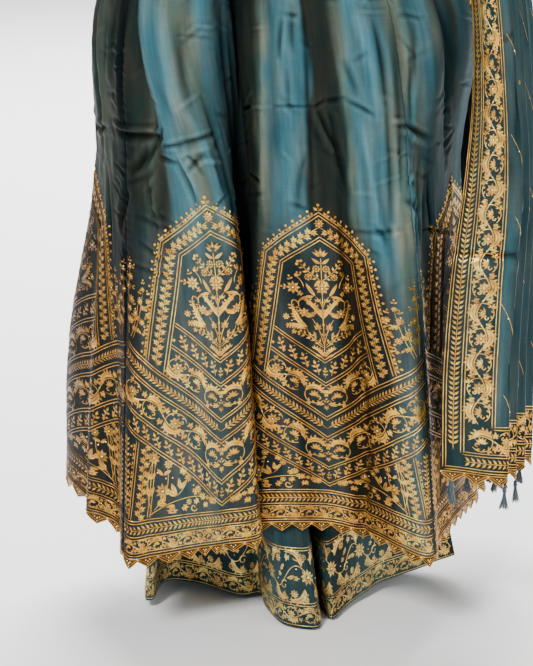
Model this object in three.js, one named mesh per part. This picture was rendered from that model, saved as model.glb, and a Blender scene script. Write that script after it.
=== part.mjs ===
// Anarkali suit: a flared kurta of eight gores with bodice and sleeves, a palazzo under it
// and a pleated dupatta over one shoulder. It is shown worn, with the hollows left empty.
//
// Millimetres. +Z is up, the front faces -Y, and +X is the wearer's left side.
// The origin is midway between the shoulders, at the level of the neck points.
import * as THREE from 'three';

// ---------------------------------------------------------------- driving sizes
const CLOTH = 1.5;               // wall of the kurta and palazzo silk
const VEIL = 1.2;                // wall of the dupatta silk
const LACE = 1.0;                // wall of the gilt edging
const SEAM_GAP = 0.4;            // pieces lie this far apart along a seam

const WAIST_Z = -335;            // seam between bodice and skirt
const HEM_Z = -1290;             // lowest part of the skirt's hem
const GORES = 8;
const GORE_WAIST = 222;          // width of one gore at the waist seam, before gathering
const GORE_HEM = 348;            // width of one gore at the hem

const GORE_FACETS = 12;          // flat strips across one gore
const TEETH_PER_GORE = 12;       // points of the edging along one gore
const TOOTH_ROOT = 5;            // depth of the edging between two points
const TOOTH_TIP = 16;            // depth of the edging at a point

const COLOURS = {
  skirt: { color: 0x3f6f78, roughness: 0.42, metalness: 0 },
  bodice: { color: 0x3f6f78, roughness: 0.42, metalness: 0 },
  palazzo: { color: 0x2c4a50, roughness: 0.5, metalness: 0 },
  dupatta: { color: 0x33585f, roughness: 0.45, metalness: 0 },
  lace: { color: 0xb8873f, roughness: 0.35, metalness: 0.6 },
  tassel: { color: 0x3a5358, roughness: 0.7, metalness: 0 },
};

const suit = new THREE.Group();

// ---------------------------------------------------------------- curves and surfaces
const mix = (a, b, t) => a + (b - a) * t;
const clamp = (t, low, high) => Math.min(high, Math.max(low, t));
const bump = (t) => (Math.abs(t) < 1 ? (1 - t * t) ** 2 : 0);
const smooth = (t) => { const c = clamp(t, 0, 1); return c * c * (3 - 2 * c); };

// Smooth curve through rows of a table, at the value `at` of their column `key`.
// Each row's slope is the mean of its neighbours' slopes, so the curve passes every row.
// A `period` joins the last row to the first one.
function through(rows, key, column, at, period = 0) {
  const last = rows.length - 1;
  const row = (i) => {
    if (!period) return rows[clamp(i, 0, last)];
    return rows[((i % rows.length) + rows.length) % rows.length];
  };
  const knot = (i) => row(i)[key] + (period ? period * Math.floor(i / rows.length) : 0);
  const start = rows[0][key];
  const place = period ? start + ((((at - start) % period) + period) % period) : at;
  let i = 0;
  while (i < (period ? last : last - 1) && knot(i + 1) <= place) i += 1;
  const slope = (k) => {
    const before = knot(k) - knot(k - 1);
    const after = knot(k + 1) - knot(k);
    if (before <= 0) return (row(k + 1)[column] - row(k)[column]) / after;
    if (after <= 0) return (row(k)[column] - row(k - 1)[column]) / before;
    const rise = (row(k)[column] - row(k - 1)[column]) / before;
    const fall = (row(k + 1)[column] - row(k)[column]) / after;
    return (rise * after + fall * before) / (before + after);
  };
  const span = knot(i + 1) - knot(i);
  const t = (place - knot(i)) / span;
  const a = row(i)[column];
  const b = row(i + 1)[column];
  return a * (1 + 2 * t) * (1 - t) ** 2 + slope(i) * span * t * (1 - t) ** 2
    + b * (3 - 2 * t) * t ** 2 - slope(i + 1) * span * t ** 2 * (1 - t);
}

// A closed solid from a grid of columns, each a list of { outer, inner } points.
function solidFromGrid(grid, ring) {
  const columns = grid.length;
  const rows = grid[0].length;
  const positions = [];
  for (const column of grid) {
    for (const { outer, inner } of column) positions.push(...outer.toArray(), ...inner.toArray());
  }
  const outerAt = (i, j) => 2 * ((i % columns) * rows + j);
  const innerAt = (i, j) => outerAt(i, j) + 1;
  const faces = [];
  const quad = (a, b, c, d) => faces.push(a, b, c, a, c, d);
  const between = (i, j, k, l) => grid[i % columns][j].outer.distanceTo(grid[k % columns][l].outer);
  const spans = ring ? columns : columns - 1;
  for (let i = 0; i < spans; i += 1) {
    for (let j = 0; j < rows - 1; j += 1) {
      const outside = [
        outerAt(i, j), outerAt(i + 1, j), outerAt(i + 1, j + 1), outerAt(i, j + 1),
      ];
      const inside = [
        innerAt(i, j + 1), innerAt(i + 1, j + 1), innerAt(i + 1, j), innerAt(i, j),
      ];
      // Both faces of the wall are split along the shorter diagonal.
      if (between(i, j, i + 1, j + 1) > between(i + 1, j, i, j + 1)) {
        outside.push(outside.shift());
      } else {
        inside.push(inside.shift());
      }
      quad(...outside);
      quad(...inside);
    }
    quad(outerAt(i, 0), innerAt(i, 0), innerAt(i + 1, 0), outerAt(i + 1, 0));
    const top = rows - 1;
    quad(outerAt(i, top), outerAt(i + 1, top), innerAt(i + 1, top), innerAt(i, top));
  }
  for (let j = 0; j < rows - 1 && !ring; j += 1) {
    quad(outerAt(0, j), outerAt(0, j + 1), innerAt(0, j + 1), innerAt(0, j));
    const end = columns - 1;
    quad(outerAt(end, j), innerAt(end, j), innerAt(end, j + 1), outerAt(end, j + 1));
  }
  const geometry = new THREE.BufferGeometry();
  geometry.setAttribute('position', new THREE.Float32BufferAttribute(positions, 3));
  geometry.setIndex(faces);
  if (signedVolume(positions, faces) < 0) faces.reverse();
  geometry.setIndex(faces);
  geometry.computeVertexNormals();
  return geometry;
}

function signedVolume(positions, faces) {
  const point = (k) => new THREE.Vector3().fromArray(positions, 3 * k);
  let volume = 0;
  for (let f = 0; f < faces.length; f += 3) {
    volume += point(faces[f]).dot(point(faces[f + 1]).cross(point(faces[f + 2]))) / 6;
  }
  return volume;
}

// Normals of the facets of a grid of points, one to each span of columns and rows.
function facetNormals(points) {
  return points.slice(1).map((next, i) => next.slice(1).map((corner, j) => {
    const rising = corner.clone().sub(points[i][j]);
    return rising.cross(points[i][j + 1].clone().sub(next[j])).normalize();
  }));
}

// Half the wall's thickness at a grid point, along the mitre of the facets that meet there.
const SHARPEST = 0.45;           // cosine that limits the mitre at a sharp fold
function mitre(normals, wall) {
  const sum = normals.reduce((total, n) => total.add(n), new THREE.Vector3()).normalize();
  const least = Math.min(...normals.map((n) => n.dot(sum)));
  return sum.multiplyScalar(wall / 2 / Math.max(least, SHARPEST));
}

// A cloth piece: the part u0..u1, v0..v1 of a surface, as a wall of even thickness.
// `trim(v)` narrows both sides to leave the seam gap, in units of u. `columns` and `rows`
// place the grid as shares of u0..u1 and v0..v1 where it isn't even. A `ring` closes on
// itself, and a `joined` piece meets its neighbours at the mitre of the facets on both
// sides of the seam.
const evenly = (count) => Array.from({ length: count + 1 }, (_, j) => j / count);
function cloth(surface, {
  u0, u1, v0, v1, across, down, wall, columns = evenly(across), rows = evenly(down),
  trim = () => 0, ring = false, joined = false,
}) {
  const beyond = ring || joined ? 1 : 0;
  const around = beyond ? [-columns[1], ...columns, 1 + columns[1]] : columns;
  const points = around.map((place) => rows.map((share) => {
    const v = mix(v0, v1, share);
    const u = mix(u0, u1, place);
    const cut = ring ? 0 : trim(v);
    return surface(place < 0 || place > 1 ? u : clamp(u, u0 + cut, u1 - cut), v);
  }));
  const normals = facetNormals(points);
  const last = beyond + columns.length - (ring ? 1 : 0);
  const grid = points.slice(beyond, last).map((column, i) => column.map((point, j) => {
    const strips = [normals[i + beyond - 1], normals[i + beyond]].filter((strip) => strip);
    const near = strips.flatMap((strip) => [strip[j - 1], strip[j]]).filter((n) => n);
    const half = mitre(near, wall);
    return { outer: point.clone().add(half), inner: point.clone().sub(half) };
  }));
  return solidFromGrid(grid, ring);
}

function add(name, geometry, finish) {
  const mesh = new THREE.Mesh(geometry, new THREE.MeshStandardMaterial(COLOURS[finish]));
  mesh.name = name;
  suit.add(mesh);
}

// ---------------------------------------------------------------- skirt of the kurta
// A place on the skirt is (gore, drop): `gore` runs round the hem, 0 at the middle of the
// front gore and 1 more for each gore to the wearer's left; `drop` is 0 at the waist seam
// and 1 at the hem. The front of each section is drawn through its folds.
const YOKE_FRONT = [
  { gore: -2.00, x: -257, y: 28 },
  { gore: -1.75, x: -246, y: -34 },
  { gore: -1.58, x: -221, y: -72 },
  { gore: -1.50, x: -211, y: -86 },
  { gore: -1.31, x: -168, y: -98 },
  { gore: -1.13, x: -193, y: -127 },
  { gore: -0.94, x: -156, y: -160 },
  { gore: -0.72, x: -101, y: -152 },
  { gore: -0.60, x: -77, y: -133 },
  { gore: -0.50, x: -67, y: -108 },
  { gore: -0.41, x: -56, y: -126 },
  { gore: -0.275, x: -32, y: -150 },
  { gore: -0.16, x: -8, y: -165 },
  { gore: 0.00, x: 31, y: -173 },
  { gore: 0.09, x: 50, y: -164 },
  { gore: 0.28, x: 95, y: -151 },
  { gore: 0.39, x: 118, y: -163 },
  { gore: 0.56, x: 156, y: -141 },
  { gore: 0.65, x: 174, y: -150 },
  { gore: 0.80, x: 203, y: -127 },
  { gore: 0.90, x: 202, y: -101 },
  { gore: 1.00, x: 225, y: -94 },
  { gore: 1.10, x: 246, y: -78 },
  { gore: 1.22, x: 258, y: -36 },
];
const KNEE_FRONT = [
  { gore: -2.00, x: -271, y: 22 },
  { gore: -1.75, x: -251, y: -46 },
  { gore: -1.50, x: -217, y: -108 },
  { gore: -1.29, x: -172, y: -150 },
  { gore: -1.10, x: -128, y: -182 },
  { gore: -1.00, x: -103, y: -193 },
  { gore: -0.91, x: -78, y: -187 },
  { gore: -0.75, x: -66, y: -146 },
  { gore: -0.62, x: -67, y: -108 },
  { gore: -0.57, x: -61, y: -95 },
  { gore: -0.52, x: -49, y: -98 },
  { gore: -0.43, x: -42, y: -126 },
  { gore: -0.31, x: -31, y: -161 },
  { gore: -0.20, x: -8, y: -180 },
  { gore: 0.00, x: 50, y: -196 },
  { gore: 0.17, x: 96, y: -179 },
  { gore: 0.31, x: 134, y: -186 },
  { gore: 0.43, x: 166, y: -173 },
  { gore: 0.51, x: 184, y: -156 },
  { gore: 0.61, x: 191, y: -128 },
  { gore: 0.73, x: 215, y: -103 },
  { gore: 1.00, x: 248, y: -40 },
  { gore: 1.22, x: 264, y: 22 },
];
const HEM_FRONT = [
  { gore: -2.00, x: -326, y: 19, lift: 50 },
  { gore: -1.92, x: -314, y: -18, lift: 50 },
  { gore: -1.85, x: -296, y: -50, lift: 46 },
  { gore: -1.80, x: -282, y: -74, lift: 40 },
  { gore: -1.76, x: -287, y: -98, lift: 35 },
  { gore: -1.69, x: -262, y: -124, lift: 35 },
  { gore: -1.61, x: -236, y: -140, lift: 26 },
  { gore: -1.51, x: -228, y: -190, lift: 5 },
  { gore: -1.46, x: -218, y: -209, lift: 0 },
  { gore: -1.36, x: -186, y: -199, lift: 0 },
  { gore: -1.18, x: -124, y: -167, lift: 0 },
  { gore: -1.00, x: -83, y: -150, lift: 0 },
  { gore: -0.84, x: -30, y: -145, lift: 8 },
  { gore: -0.805, x: -27, y: -136, lift: 10 },
  { gore: -0.70, x: -64, y: -138, lift: 12 },
  { gore: -0.575, x: -106, y: -141, lift: 14 },
  { gore: -0.545, x: -113, y: -133, lift: 15 },
  { gore: -0.515, x: -106, y: -125, lift: 16 },
  { gore: -0.38, x: -58, y: -120, lift: 20 },
  { gore: -0.26, x: -16, y: -118, lift: 22 },
  { gore: -0.16, x: 20, y: -124, lift: 25 },
  { gore: 0.00, x: 75, y: -129, lift: 25 },
  { gore: 0.17, x: 133, y: -151, lift: 17 },
  { gore: 0.33, x: 176, y: -182, lift: 6 },
  { gore: 0.45, x: 212, y: -204, lift: 0 },
  { gore: 0.50, x: 222, y: -199, lift: 2 },
  { gore: 0.60, x: 230, y: -162, lift: 12 },
  { gore: 0.73, x: 250, y: -120, lift: 22 },
  { gore: 1.00, x: 284, y: -42, lift: 26 },
  { gore: 1.20, x: 304, y: 12, lift: 24 },
];
// Folds of the sides and back, alternately ridge and valley: `bearing` in degrees from
// the front towards the wearer's left, `rise` out of the section's oval at the hem.
const BACK_FOLDS = [
  { gore: 1.32, bearing: 100, rise: -26 },
  { gore: 1.49, bearing: 106, rise: 12 },
  { gore: 1.72, bearing: 116, rise: -48 },
  { gore: 1.96, bearing: 127, rise: 12 },
  { gore: 2.32, bearing: 138, rise: -88 },
  { gore: 2.67, bearing: 149, rise: 14 },
  { gore: 3.06, bearing: 160, rise: -90 },
  { gore: 3.43, bearing: 171, rise: 8 },
  { gore: 3.81, bearing: 182, rise: -94 },
  { gore: 4.20, bearing: 193, rise: 12 },
  { gore: 4.57, bearing: 204, rise: -90 },
  { gore: 4.95, bearing: 215, rise: 10 },
  { gore: 5.30, bearing: 228, rise: -84 },
  { gore: 5.68, bearing: 244, rise: 4 },
];
const BACK_LIFT = 18;            // the hem hangs this much shorter behind

// Sections of the skirt, from the waist to the hem. `wide` and `deep` are the half sizes of
// the section's oval, and `fullness` is the share of the folds' full depth there.
const SECTIONS = [
  { name: 'waist', drop: 0, wide: 172, deep: 118, fullness: 0, front: [] },
  { name: 'yoke', drop: 0.173, wide: 258, deep: 172, fullness: 0.55, front: YOKE_FRONT },
  { name: 'knee', drop: 0.466, wide: 272, deep: 198, fullness: 0.75, front: KNEE_FRONT },
  { name: 'hem', drop: 1, wide: 322, deep: 250, fullness: 1, front: HEM_FRONT },
];

// The wearer's right side bells out a little above the hem, where the heavy border turns
// it in again: `out` mm at the middle of a patch that reaches `spread` gores and drops.
const SIDE_BELL = { gore: -2.08, spreadGore: 0.5, drop: 0.75, spreadDrop: 0.28, out: 18 };

const degrees = (d) => (d * Math.PI) / 180;
const goreWidth = (drop) => mix(GORE_WAIST, GORE_HEM, drop);

function backRows({ wide, deep, fullness }) {
  return BACK_FOLDS.map(({ gore, bearing, rise }) => ({
    gore,
    x: (wide + rise * fullness) * Math.sin(degrees(bearing)),
    y: -(deep + rise * fullness) * Math.cos(degrees(bearing)),
    lift: BACK_LIFT,
  }));
}
for (const section of SECTIONS) section.rows = [...section.front, ...backRows(section)];

// Point of one section at a place round the hem; the gathered waist is a plain oval.
function sectionPoint(section, gore) {
  if (!section.front.length) {
    const bearing = degrees((gore * 360) / GORES);
    return { x: section.wide * Math.sin(bearing), y: -section.deep * Math.cos(bearing) };
  }
  return {
    x: through(section.rows, 'gore', 'x', gore, GORES),
    y: through(section.rows, 'gore', 'y', gore, GORES),
  };
}

function skirt(gore, drop) {
  const points = SECTIONS.map((s) => ({ drop: s.drop, ...sectionPoint(s, gore) }));
  const hem = SECTIONS[SECTIONS.length - 1];
  const lift = through(hem.rows, 'gore', 'lift', gore, GORES);
  const place = gore > GORES / 2 ? gore - GORES : gore;
  const bell = bump((place - SIDE_BELL.gore) / SIDE_BELL.spreadGore)
    * bump((drop - SIDE_BELL.drop) / SIDE_BELL.spreadDrop);
  return new THREE.Vector3(
    through(points, 'drop', 'x', drop) - SIDE_BELL.out * bell,
    through(points, 'drop', 'y', drop),
    mix(WAIST_Z, HEM_Z + lift, drop),
  );
}

const GORE_ROWS = [0, 0.06, 0.173, 0.31, 0.466, 0.64, 0.82, 1];
for (let k = 0; k < GORES; k += 1) {
  const middle = k < GORES / 2 ? k : k - GORES;
  const seamTrim = (drop) => SEAM_GAP / 2 / goreWidth(drop);
  add(`gore_${k + 1}`, cloth(skirt, {
    u0: middle - 0.5, u1: middle + 0.5, v0: SEAM_GAP / (WAIST_Z - HEM_Z), v1: 1,
    across: GORE_FACETS, rows: GORE_ROWS, wall: CLOTH, trim: seamTrim, joined: true,
  }), 'skirt');
}

// The straight edge that the facets of a cloth give to a curve, at `u`; `facet` is a
// facet's width in units of u.
function faceted(curve, facet) {
  return (u) => {
    const first = Math.floor(u / facet + 1e-6) * facet;
    return curve(first).lerp(curve(first + facet), (u - first) / facet);
  };
}

// Gilt edging below the hem, in line with the cloth above it, with a point every tooth.
function hangingLace(edge, direction, toothAt) {
  return (u, v) => edge(u).addScaledVector(direction(u), SEAM_GAP + v * toothAt(u));
}
const pointed = (teeth) => {
  const saw = Math.abs(((teeth % 1) + 1) % 1 - 0.5) * 2;
  return mix(TOOTH_TIP, TOOTH_ROOT, saw);
};
const LACE_LINE = 20;            // the edging hangs in line with this much cloth above it
const skirtEdge = (drop) => faceted((gore) => skirt(gore, drop), 1 / GORE_FACETS);
const aboveHem = 1 - LACE_LINE / (WAIST_Z - HEM_Z);
const skirtLace = hangingLace(
  skirtEdge(1),
  (gore) => skirtEdge(1)(gore).sub(skirtEdge(aboveHem)(gore)).normalize(),
  (gore) => pointed((gore + 0.5) * TEETH_PER_GORE),
);
for (let k = 0; k < GORES; k += 1) {
  const middle = k < GORES / 2 ? k : k - GORES;
  add(`hem_lace_${k + 1}`, cloth(skirtLace, {
    u0: middle - 0.5, u1: middle + 0.5, v0: 0, v1: 1,
    across: 2 * TEETH_PER_GORE, down: 1, wall: LACE, trim: () => SEAM_GAP / 2 / GORE_HEM,
    joined: true,
  }), 'lace');
}

// ---------------------------------------------------------------- bodice
const TORSO = [
  { z: WAIST_Z, wide: 172, deep: 118 },
  { z: -240, wide: 181, deep: 124 },
  { z: -120, wide: 180, deep: 116 },
  { z: 0, wide: 185, deep: 108 },
];
const NECK_SIDE = 0.25;          // share of a panel's half where the shoulder seam starts
const FRONT_NECK = 125;          // depth of the front neckline
const BACK_NECK = 45;
const SHOULDER_HALF = 185;
const NECK_HALF = SHOULDER_HALF * Math.sin((NECK_SIDE * Math.PI) / 2);
const SIDE_GAP = 0.5;            // each panel stands this far from the side and shoulder seams
const SHOULDER_DROP = 38;        // the shoulder seam's fall from neck to tip
const SHOULDER_ROUND = 90;       // height over which the chest rounds into the shoulder
const ARMHOLE = { middle: -126.5, high: 88.5, deep: 60, above: 0.875, below: 0.5 };

const torso = (z, column) => through(TORSO, 'z', column, z);

// Distance of the armhole's edge from the side seam's plane, at a height; `above` and
// `below` set how roundly it closes at the shoulder and under the arm.
function armholeDepth(z) {
  const along = clamp((z - ARMHOLE.middle) / ARMHOLE.high, -1, 1);
  return ARMHOLE.deep * (1 - along * along) ** (along > 0 ? ARMHOLE.above : ARMHOLE.below);
}

// Half angle of a bodice panel at a height: to the side seam below the armhole, and to the
// armhole's edge beside it.
function panelReach(z, depth) {
  return Math.acos(clamp(armholeDepth(z) / Math.max(depth, 1), 0, 0.9));
}

// Bodice panel: `side` -1 to 1 across, `rise` 0 at the waist seam to 1 at neck and shoulder.
// `facing` is -1 for the front and 1 for the back.
function bodice(facing, neckDepth) {
  return (side, rise) => {
    const s = clamp(side, -1, 1);
    const outward = SHOULDER_HALF * Math.sin((Math.abs(s) * Math.PI) / 2);
    const sloping = clamp((outward - NECK_HALF) / (SHOULDER_HALF - NECK_HALF), 0, 1);
    const dip = 1 - clamp(outward / NECK_HALF, 0, 1) ** 2;
    const top = outward < NECK_HALF ? -neckDepth * dip : -SHOULDER_DROP * sloping;
    const z = mix(WAIST_Z + SEAM_GAP, top, rise);
    const shoulderAbove = -SHOULDER_DROP * sloping - z;
    const t = clamp(shoulderAbove / SHOULDER_ROUND, 0, 1);
    const depth = torso(z, 'deep') * Math.sqrt(1 - (1 - t) ** 2);
    const angle = s * panelReach(z, depth);
    const y = facing * (depth * Math.cos(angle) + SIDE_GAP);
    return new THREE.Vector3(torso(z, 'wide') * Math.sin(angle), y, z);
  };
}
// Rows of a panel: the waist seam, then one at each point of the sleeve's first ring.
const SLEEVE_FACETS = 16;
const armholeRise = (k) => {
  const z = ARMHOLE.middle + ARMHOLE.high * Math.cos((2 * Math.PI * k) / SLEEVE_FACETS);
  return (z - WAIST_Z) / (-SHOULDER_DROP - WAIST_Z);
};
const bodiceRows = [0];
for (let k = SLEEVE_FACETS / 2; k >= 0; k -= 1) bodiceRows.push(Math.min(armholeRise(k), 1));
const neckSides = [0.3, 0.56, 0.8, 1].map((share) => share * NECK_SIDE);
const halfPanel = [...neckSides, 0.4, 0.6, 0.8, 1];
const panelSides = [...halfPanel.map((side) => -side).reverse(), 0, ...halfPanel];
const bodicePanel = {
  u0: -1, u1: 1, v0: 0, v1: 1, columns: panelSides.map((side) => (side + 1) / 2),
  rows: bodiceRows, wall: CLOTH,
};
add('bodice_front', cloth(bodice(-1, FRONT_NECK), bodicePanel), 'bodice');
add('bodice_back', cloth(bodice(1, BACK_NECK), bodicePanel), 'bodice');

// ---------------------------------------------------------------- sleeves
const CUFF = { x: 300, z: -352, tilt: 27, half: 58, deep: 55 };
const SLEEVE_EASE = 12;          // how far the sleeve's cap stands out over the shoulder
const SLEEVE_START = 1.8;        // from the armhole's edge to the sleeve's first ring

// A sleeve: `turn` 0 to 1 round it, from the shoulder over the front to the underarm and
// back; `length` 0 at the armhole to 1 at the cuff. `hand` is 1 for the wearer's left.
function sleeve(hand) {
  const lean = degrees(CUFF.tilt);
  return (turn, length) => {
    const angle = 2 * Math.PI * turn;
    const z = ARMHOLE.middle + ARMHOLE.high * Math.cos(angle);
    const y = -Math.sign(Math.sin(angle)) * armholeDepth(z);
    const above = clamp((-SHOULDER_DROP - z) / SHOULDER_ROUND, 0, 1);
    const depth = Math.max(torso(z, 'deep') * Math.sqrt(1 - (1 - above) ** 2), 1);
    const side = Math.sqrt(1 - Math.min(Math.abs(y) / depth, 0.9) ** 2);
    const hole = new THREE.Vector3(torso(z, 'wide') * side + SLEEVE_START, y, z);
    const across = CUFF.half * Math.cos(angle);
    const cuff = new THREE.Vector3(
      CUFF.x + across * Math.cos(lean),
      -CUFF.deep * Math.sin(angle),
      CUFF.z + across * Math.sin(lean),
    );
    const point = hole.lerp(cuff, length);
    const ease = SLEEVE_EASE * Math.sin(Math.PI * length) * Math.max(Math.cos(angle), 0);
    point.x += ease * Math.cos(lean);
    point.z += ease * Math.sin(lean);
    point.x *= hand;
    return point;
  };
}
const tube = {
  u0: 0, u1: 1, v0: 0, v1: 1, across: SLEEVE_FACETS, down: 3, wall: CLOTH, ring: true,
};
add('sleeve_left', cloth(sleeve(1), tube), 'bodice');
add('sleeve_right', cloth(sleeve(-1), tube), 'bodice');

// ---------------------------------------------------------------- palazzo
const BAND = { z: -378, high: 38, wide: 169, deep: 115, wall: 3 };
const CROTCH_Z = -690;
const THIGH = { middle: 88, wide: 86, deep: 88 };
const PALAZZO_HEM_Z = -1430;

// Hems of the legs, from the inseam to the side seam; `at` is the share of the panel's
// width and `lift` how much shorter it hangs there.
const LEG_HEMS = {
  right_front: [
    { at: 0.00, x: 56, y: 5, lift: 0 },
    { at: 0.10, x: 59, y: -70, lift: 0 },
    { at: 0.18, x: 57, y: -136, lift: 0 },
    { at: 0.25, x: 15, y: -127, lift: 0 },
    { at: 0.31, x: -5, y: -102, lift: 0 },
    { at: 0.38, x: -23, y: -54, lift: 2 },
    { at: 0.46, x: -30, y: -12, lift: 5 },
    { at: 0.52, x: -58, y: -20, lift: 5 },
    { at: 0.63, x: -118, y: 8, lift: 12 },
    { at: 0.76, x: -180, y: -4, lift: 20 },
    { at: 0.85, x: -195, y: -54, lift: 11 },
    { at: 0.89, x: -205, y: -52, lift: 10 },
    { at: 0.95, x: -208, y: -14, lift: 10 },
    { at: 1.00, x: -208, y: 25, lift: 10 },
  ],
  right_back: [
    { at: 0.0, x: 56, y: 5, lift: 0 },
    { at: 0.2, x: 45, y: 75, lift: 5 },
    { at: 0.4, x: -10, y: 118, lift: 10 },
    { at: 0.6, x: -90, y: 128, lift: 14 },
    { at: 0.8, x: -164, y: 112, lift: 12 },
    { at: 1.0, x: -208, y: 25, lift: 10 },
  ],
  left_front: [
    { at: 0.00, x: 66, y: 10, lift: 0 },
    { at: 0.20, x: 68, y: -72, lift: 0 },
    { at: 0.27, x: 79, y: -100, lift: 0 },
    { at: 0.36, x: 101, y: -63, lift: 3 },
    { at: 0.50, x: 129, y: -19, lift: 8 },
    { at: 0.62, x: 159, y: 10, lift: 15 },
    { at: 0.82, x: 218, y: 33, lift: 28 },
    { at: 1.00, x: 277, y: 60, lift: 40 },
  ],
  left_back: [
    { at: 0.0, x: 66, y: 10, lift: 0 },
    { at: 0.2, x: 78, y: 85, lift: 5 },
    { at: 0.4, x: 125, y: 124, lift: 12 },
    { at: 0.7, x: 200, y: 122, lift: 25 },
    { at: 0.9, x: 258, y: 95, lift: 36 },
    { at: 1.0, x: 277, y: 60, lift: 40 },
  ],
};
const LEG_FLARE = 1.5;           // the leg keeps its thigh shape longer above 1

// A palazzo panel: `at` 0 at the middle seam to 1 at the side seam, `drop` 0 at the
// waistband to 1 at the hem. `hand` is 1 for the wearer's left, `facing` -1 for the front.
function palazzo(hand, facing, hem) {
  const crotch = (CROTCH_Z - BAND.z) / (PALAZZO_HEM_Z - BAND.z);
  return (at, drop) => {
    const quarter = (at * Math.PI) / 2;
    const waistX = hand * (BAND.wide * Math.sin(quarter) + SEAM_GAP);
    const waistY = facing * BAND.deep * Math.cos(quarter);
    const thighX = hand * (THIGH.middle - THIGH.wide * Math.cos(Math.PI * at));
    const thighY = facing * (THIGH.deep * Math.sin(Math.PI * at) + SEAM_GAP);
    const upper = smooth(drop / crotch);
    const lower = clamp((drop - crotch) / (1 - crotch), 0, 1) ** LEG_FLARE;
    const lift = through(hem, 'at', 'lift', at);
    const hemY = through(hem, 'at', 'y', at) + facing * SEAM_GAP;
    return new THREE.Vector3(
      mix(mix(waistX, thighX, upper), through(hem, 'at', 'x', at), lower),
      mix(mix(waistY, thighY, upper), hemY, lower),
      mix(BAND.z - SEAM_GAP, PALAZZO_HEM_Z + lift, drop),
    );
  };
}
const legPanel = { u0: 0, u1: 1, v0: 0, v1: 1, down: 5, wall: CLOTH, trim: () => 0.002 };
const WIDE_SPAN = 0.1;           // table spans over this share of the width get a column more
for (const [name, hem] of Object.entries(LEG_HEMS)) {
  const hand = name.startsWith('left') ? 1 : -1;
  const facing = name.endsWith('front') ? -1 : 1;
  const columns = hem.flatMap(({ at }, i) => {
    const before = hem[Math.max(i - 1, 0)].at;
    return at - before > WIDE_SPAN ? [(before + at) / 2, at] : [at];
  });
  add(`palazzo_${name}`, cloth(palazzo(hand, facing, hem), { ...legPanel, columns }), 'palazzo');
}
const waistband = (turn, drop) => new THREE.Vector3(
  BAND.wide * Math.sin(2 * Math.PI * turn),
  -BAND.deep * Math.cos(2 * Math.PI * turn),
  BAND.z + BAND.high * (1 - drop),
);
add('palazzo_waistband', cloth(waistband, {
  u0: 0, u1: 1, v0: 0, v1: 1, across: 40, down: 1, wall: BAND.wall, ring: true,
}), 'palazzo');

// ---------------------------------------------------------------- dupatta
// A long veil pleated into a stack and laid over the wearer's left shoulder. Its outermost
// layer follows these stations from the front end to the back end. `lead` is the x of the
// first pleat edge, `span` a pleat's width, `step` the shift of each further pair of
// layers, `deep` the distance from layer to layer, and `tilt` the slope of the shoulder.
// `fold` is how far the leading border turns back, and `tuck` the share of a pleat by
// which the inner layers stay clear of it.
const VEIL_WIDE = 900;
const BORDER_TURN = 75;          // width of the leading border that can turn back
const PLEATS = 8;
const PLEAT_TURN = 0.96;         // roundness of the pleat edges: 1 would be sharp
const PLEAT_STEP = 0.8;          // how far the layers lie parallel: 1 would be fully
const PLEAT_START = 1 / 6;       // the free edge lies this share of a pleat past its edge
const PLEAT_FACETS = 3;          // flat strips across one pleat
const VEIL_STATIONS = [
  { y: -246, z: -1143, lead: 211, span: 102, step: 16, deep: 20, tilt: -0.16, fold: 0, tuck: 0.1 },
  { y: -246, z: -1000, lead: 209, span: 103, step: 16, deep: 20, tilt: -0.08, fold: 2, tuck: 0.12 },
  { y: -243, z: -880, lead: 212, span: 104, step: 15, deep: 19, tilt: 0, fold: 12, tuck: 0.2 },
  { y: -234, z: -740, lead: 222, span: 98, step: 15, deep: 18, tilt: 0, fold: 33, tuck: 0.35 },
  { y: -218, z: -600, lead: 227, span: 84, step: 14, deep: 16, tilt: 0, fold: 50, tuck: 0.5 },
  { y: -205, z: -480, lead: 220, span: 78, step: 13, deep: 13, tilt: 0, fold: 52, tuck: 0.6 },
  { y: -187, z: -330, lead: 186, span: 82, step: 9, deep: 9, tilt: 0, fold: 12, tuck: 0.4 },
  { y: -168, z: -190, lead: 140, span: 88, step: 5, deep: 6, tilt: -0.05, fold: 0, tuck: 0 },
  { y: -136, z: -80, lead: 102, span: 88, step: 2, deep: 3.6, tilt: -0.2, fold: 0, tuck: 0 },
  { y: -80, z: 4, lead: 86, span: 88, step: 1, deep: 3.2, tilt: -0.32, fold: 0, tuck: 0 },
  { y: 0, z: 31, lead: 82, span: 88, step: 1, deep: 3.2, tilt: -0.345, fold: 0, tuck: 0 },
  { y: 80, z: 4, lead: 86, span: 88, step: 1, deep: 3.2, tilt: -0.32, fold: 0, tuck: 0 },
  { y: 136, z: -80, lead: 102, span: 88, step: 2, deep: 3.6, tilt: -0.2, fold: 0, tuck: 0 },
  { y: 176, z: -190, lead: 142, span: 91, step: 5, deep: 6, tilt: -0.05, fold: 0, tuck: 0 },
  { y: 216, z: -330, lead: 186, span: 94, step: 9, deep: 9, tilt: 0, fold: 0, tuck: 0 },
  { y: 252, z: -480, lead: 218, span: 98, step: 12, deep: 13, tilt: 0, fold: 0, tuck: 0 },
  { y: 290, z: -700, lead: 232, span: 104, step: 15, deep: 17, tilt: 0, fold: 0, tuck: 0 },
  { y: 318, z: -950, lead: 236, span: 106, step: 16, deep: 19, tilt: 0, fold: 0, tuck: 0 },
  { y: 334, z: -1170, lead: 234, span: 108, step: 16, deep: 20, tilt: 0, fold: 0, tuck: 0 },
];
const FRONT_STATION = 7;         // last station of the front fall
const BACK_STATION = 13;         // first station of the back fall
let travelled = 0;
VEIL_STATIONS.forEach((station, i) => {
  const before = VEIL_STATIONS[Math.max(i - 1, 0)];
  travelled += Math.hypot(station.y - before.y, station.z - before.z);
  station.along = travelled;
});
const VEIL_LONG = travelled;
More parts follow.
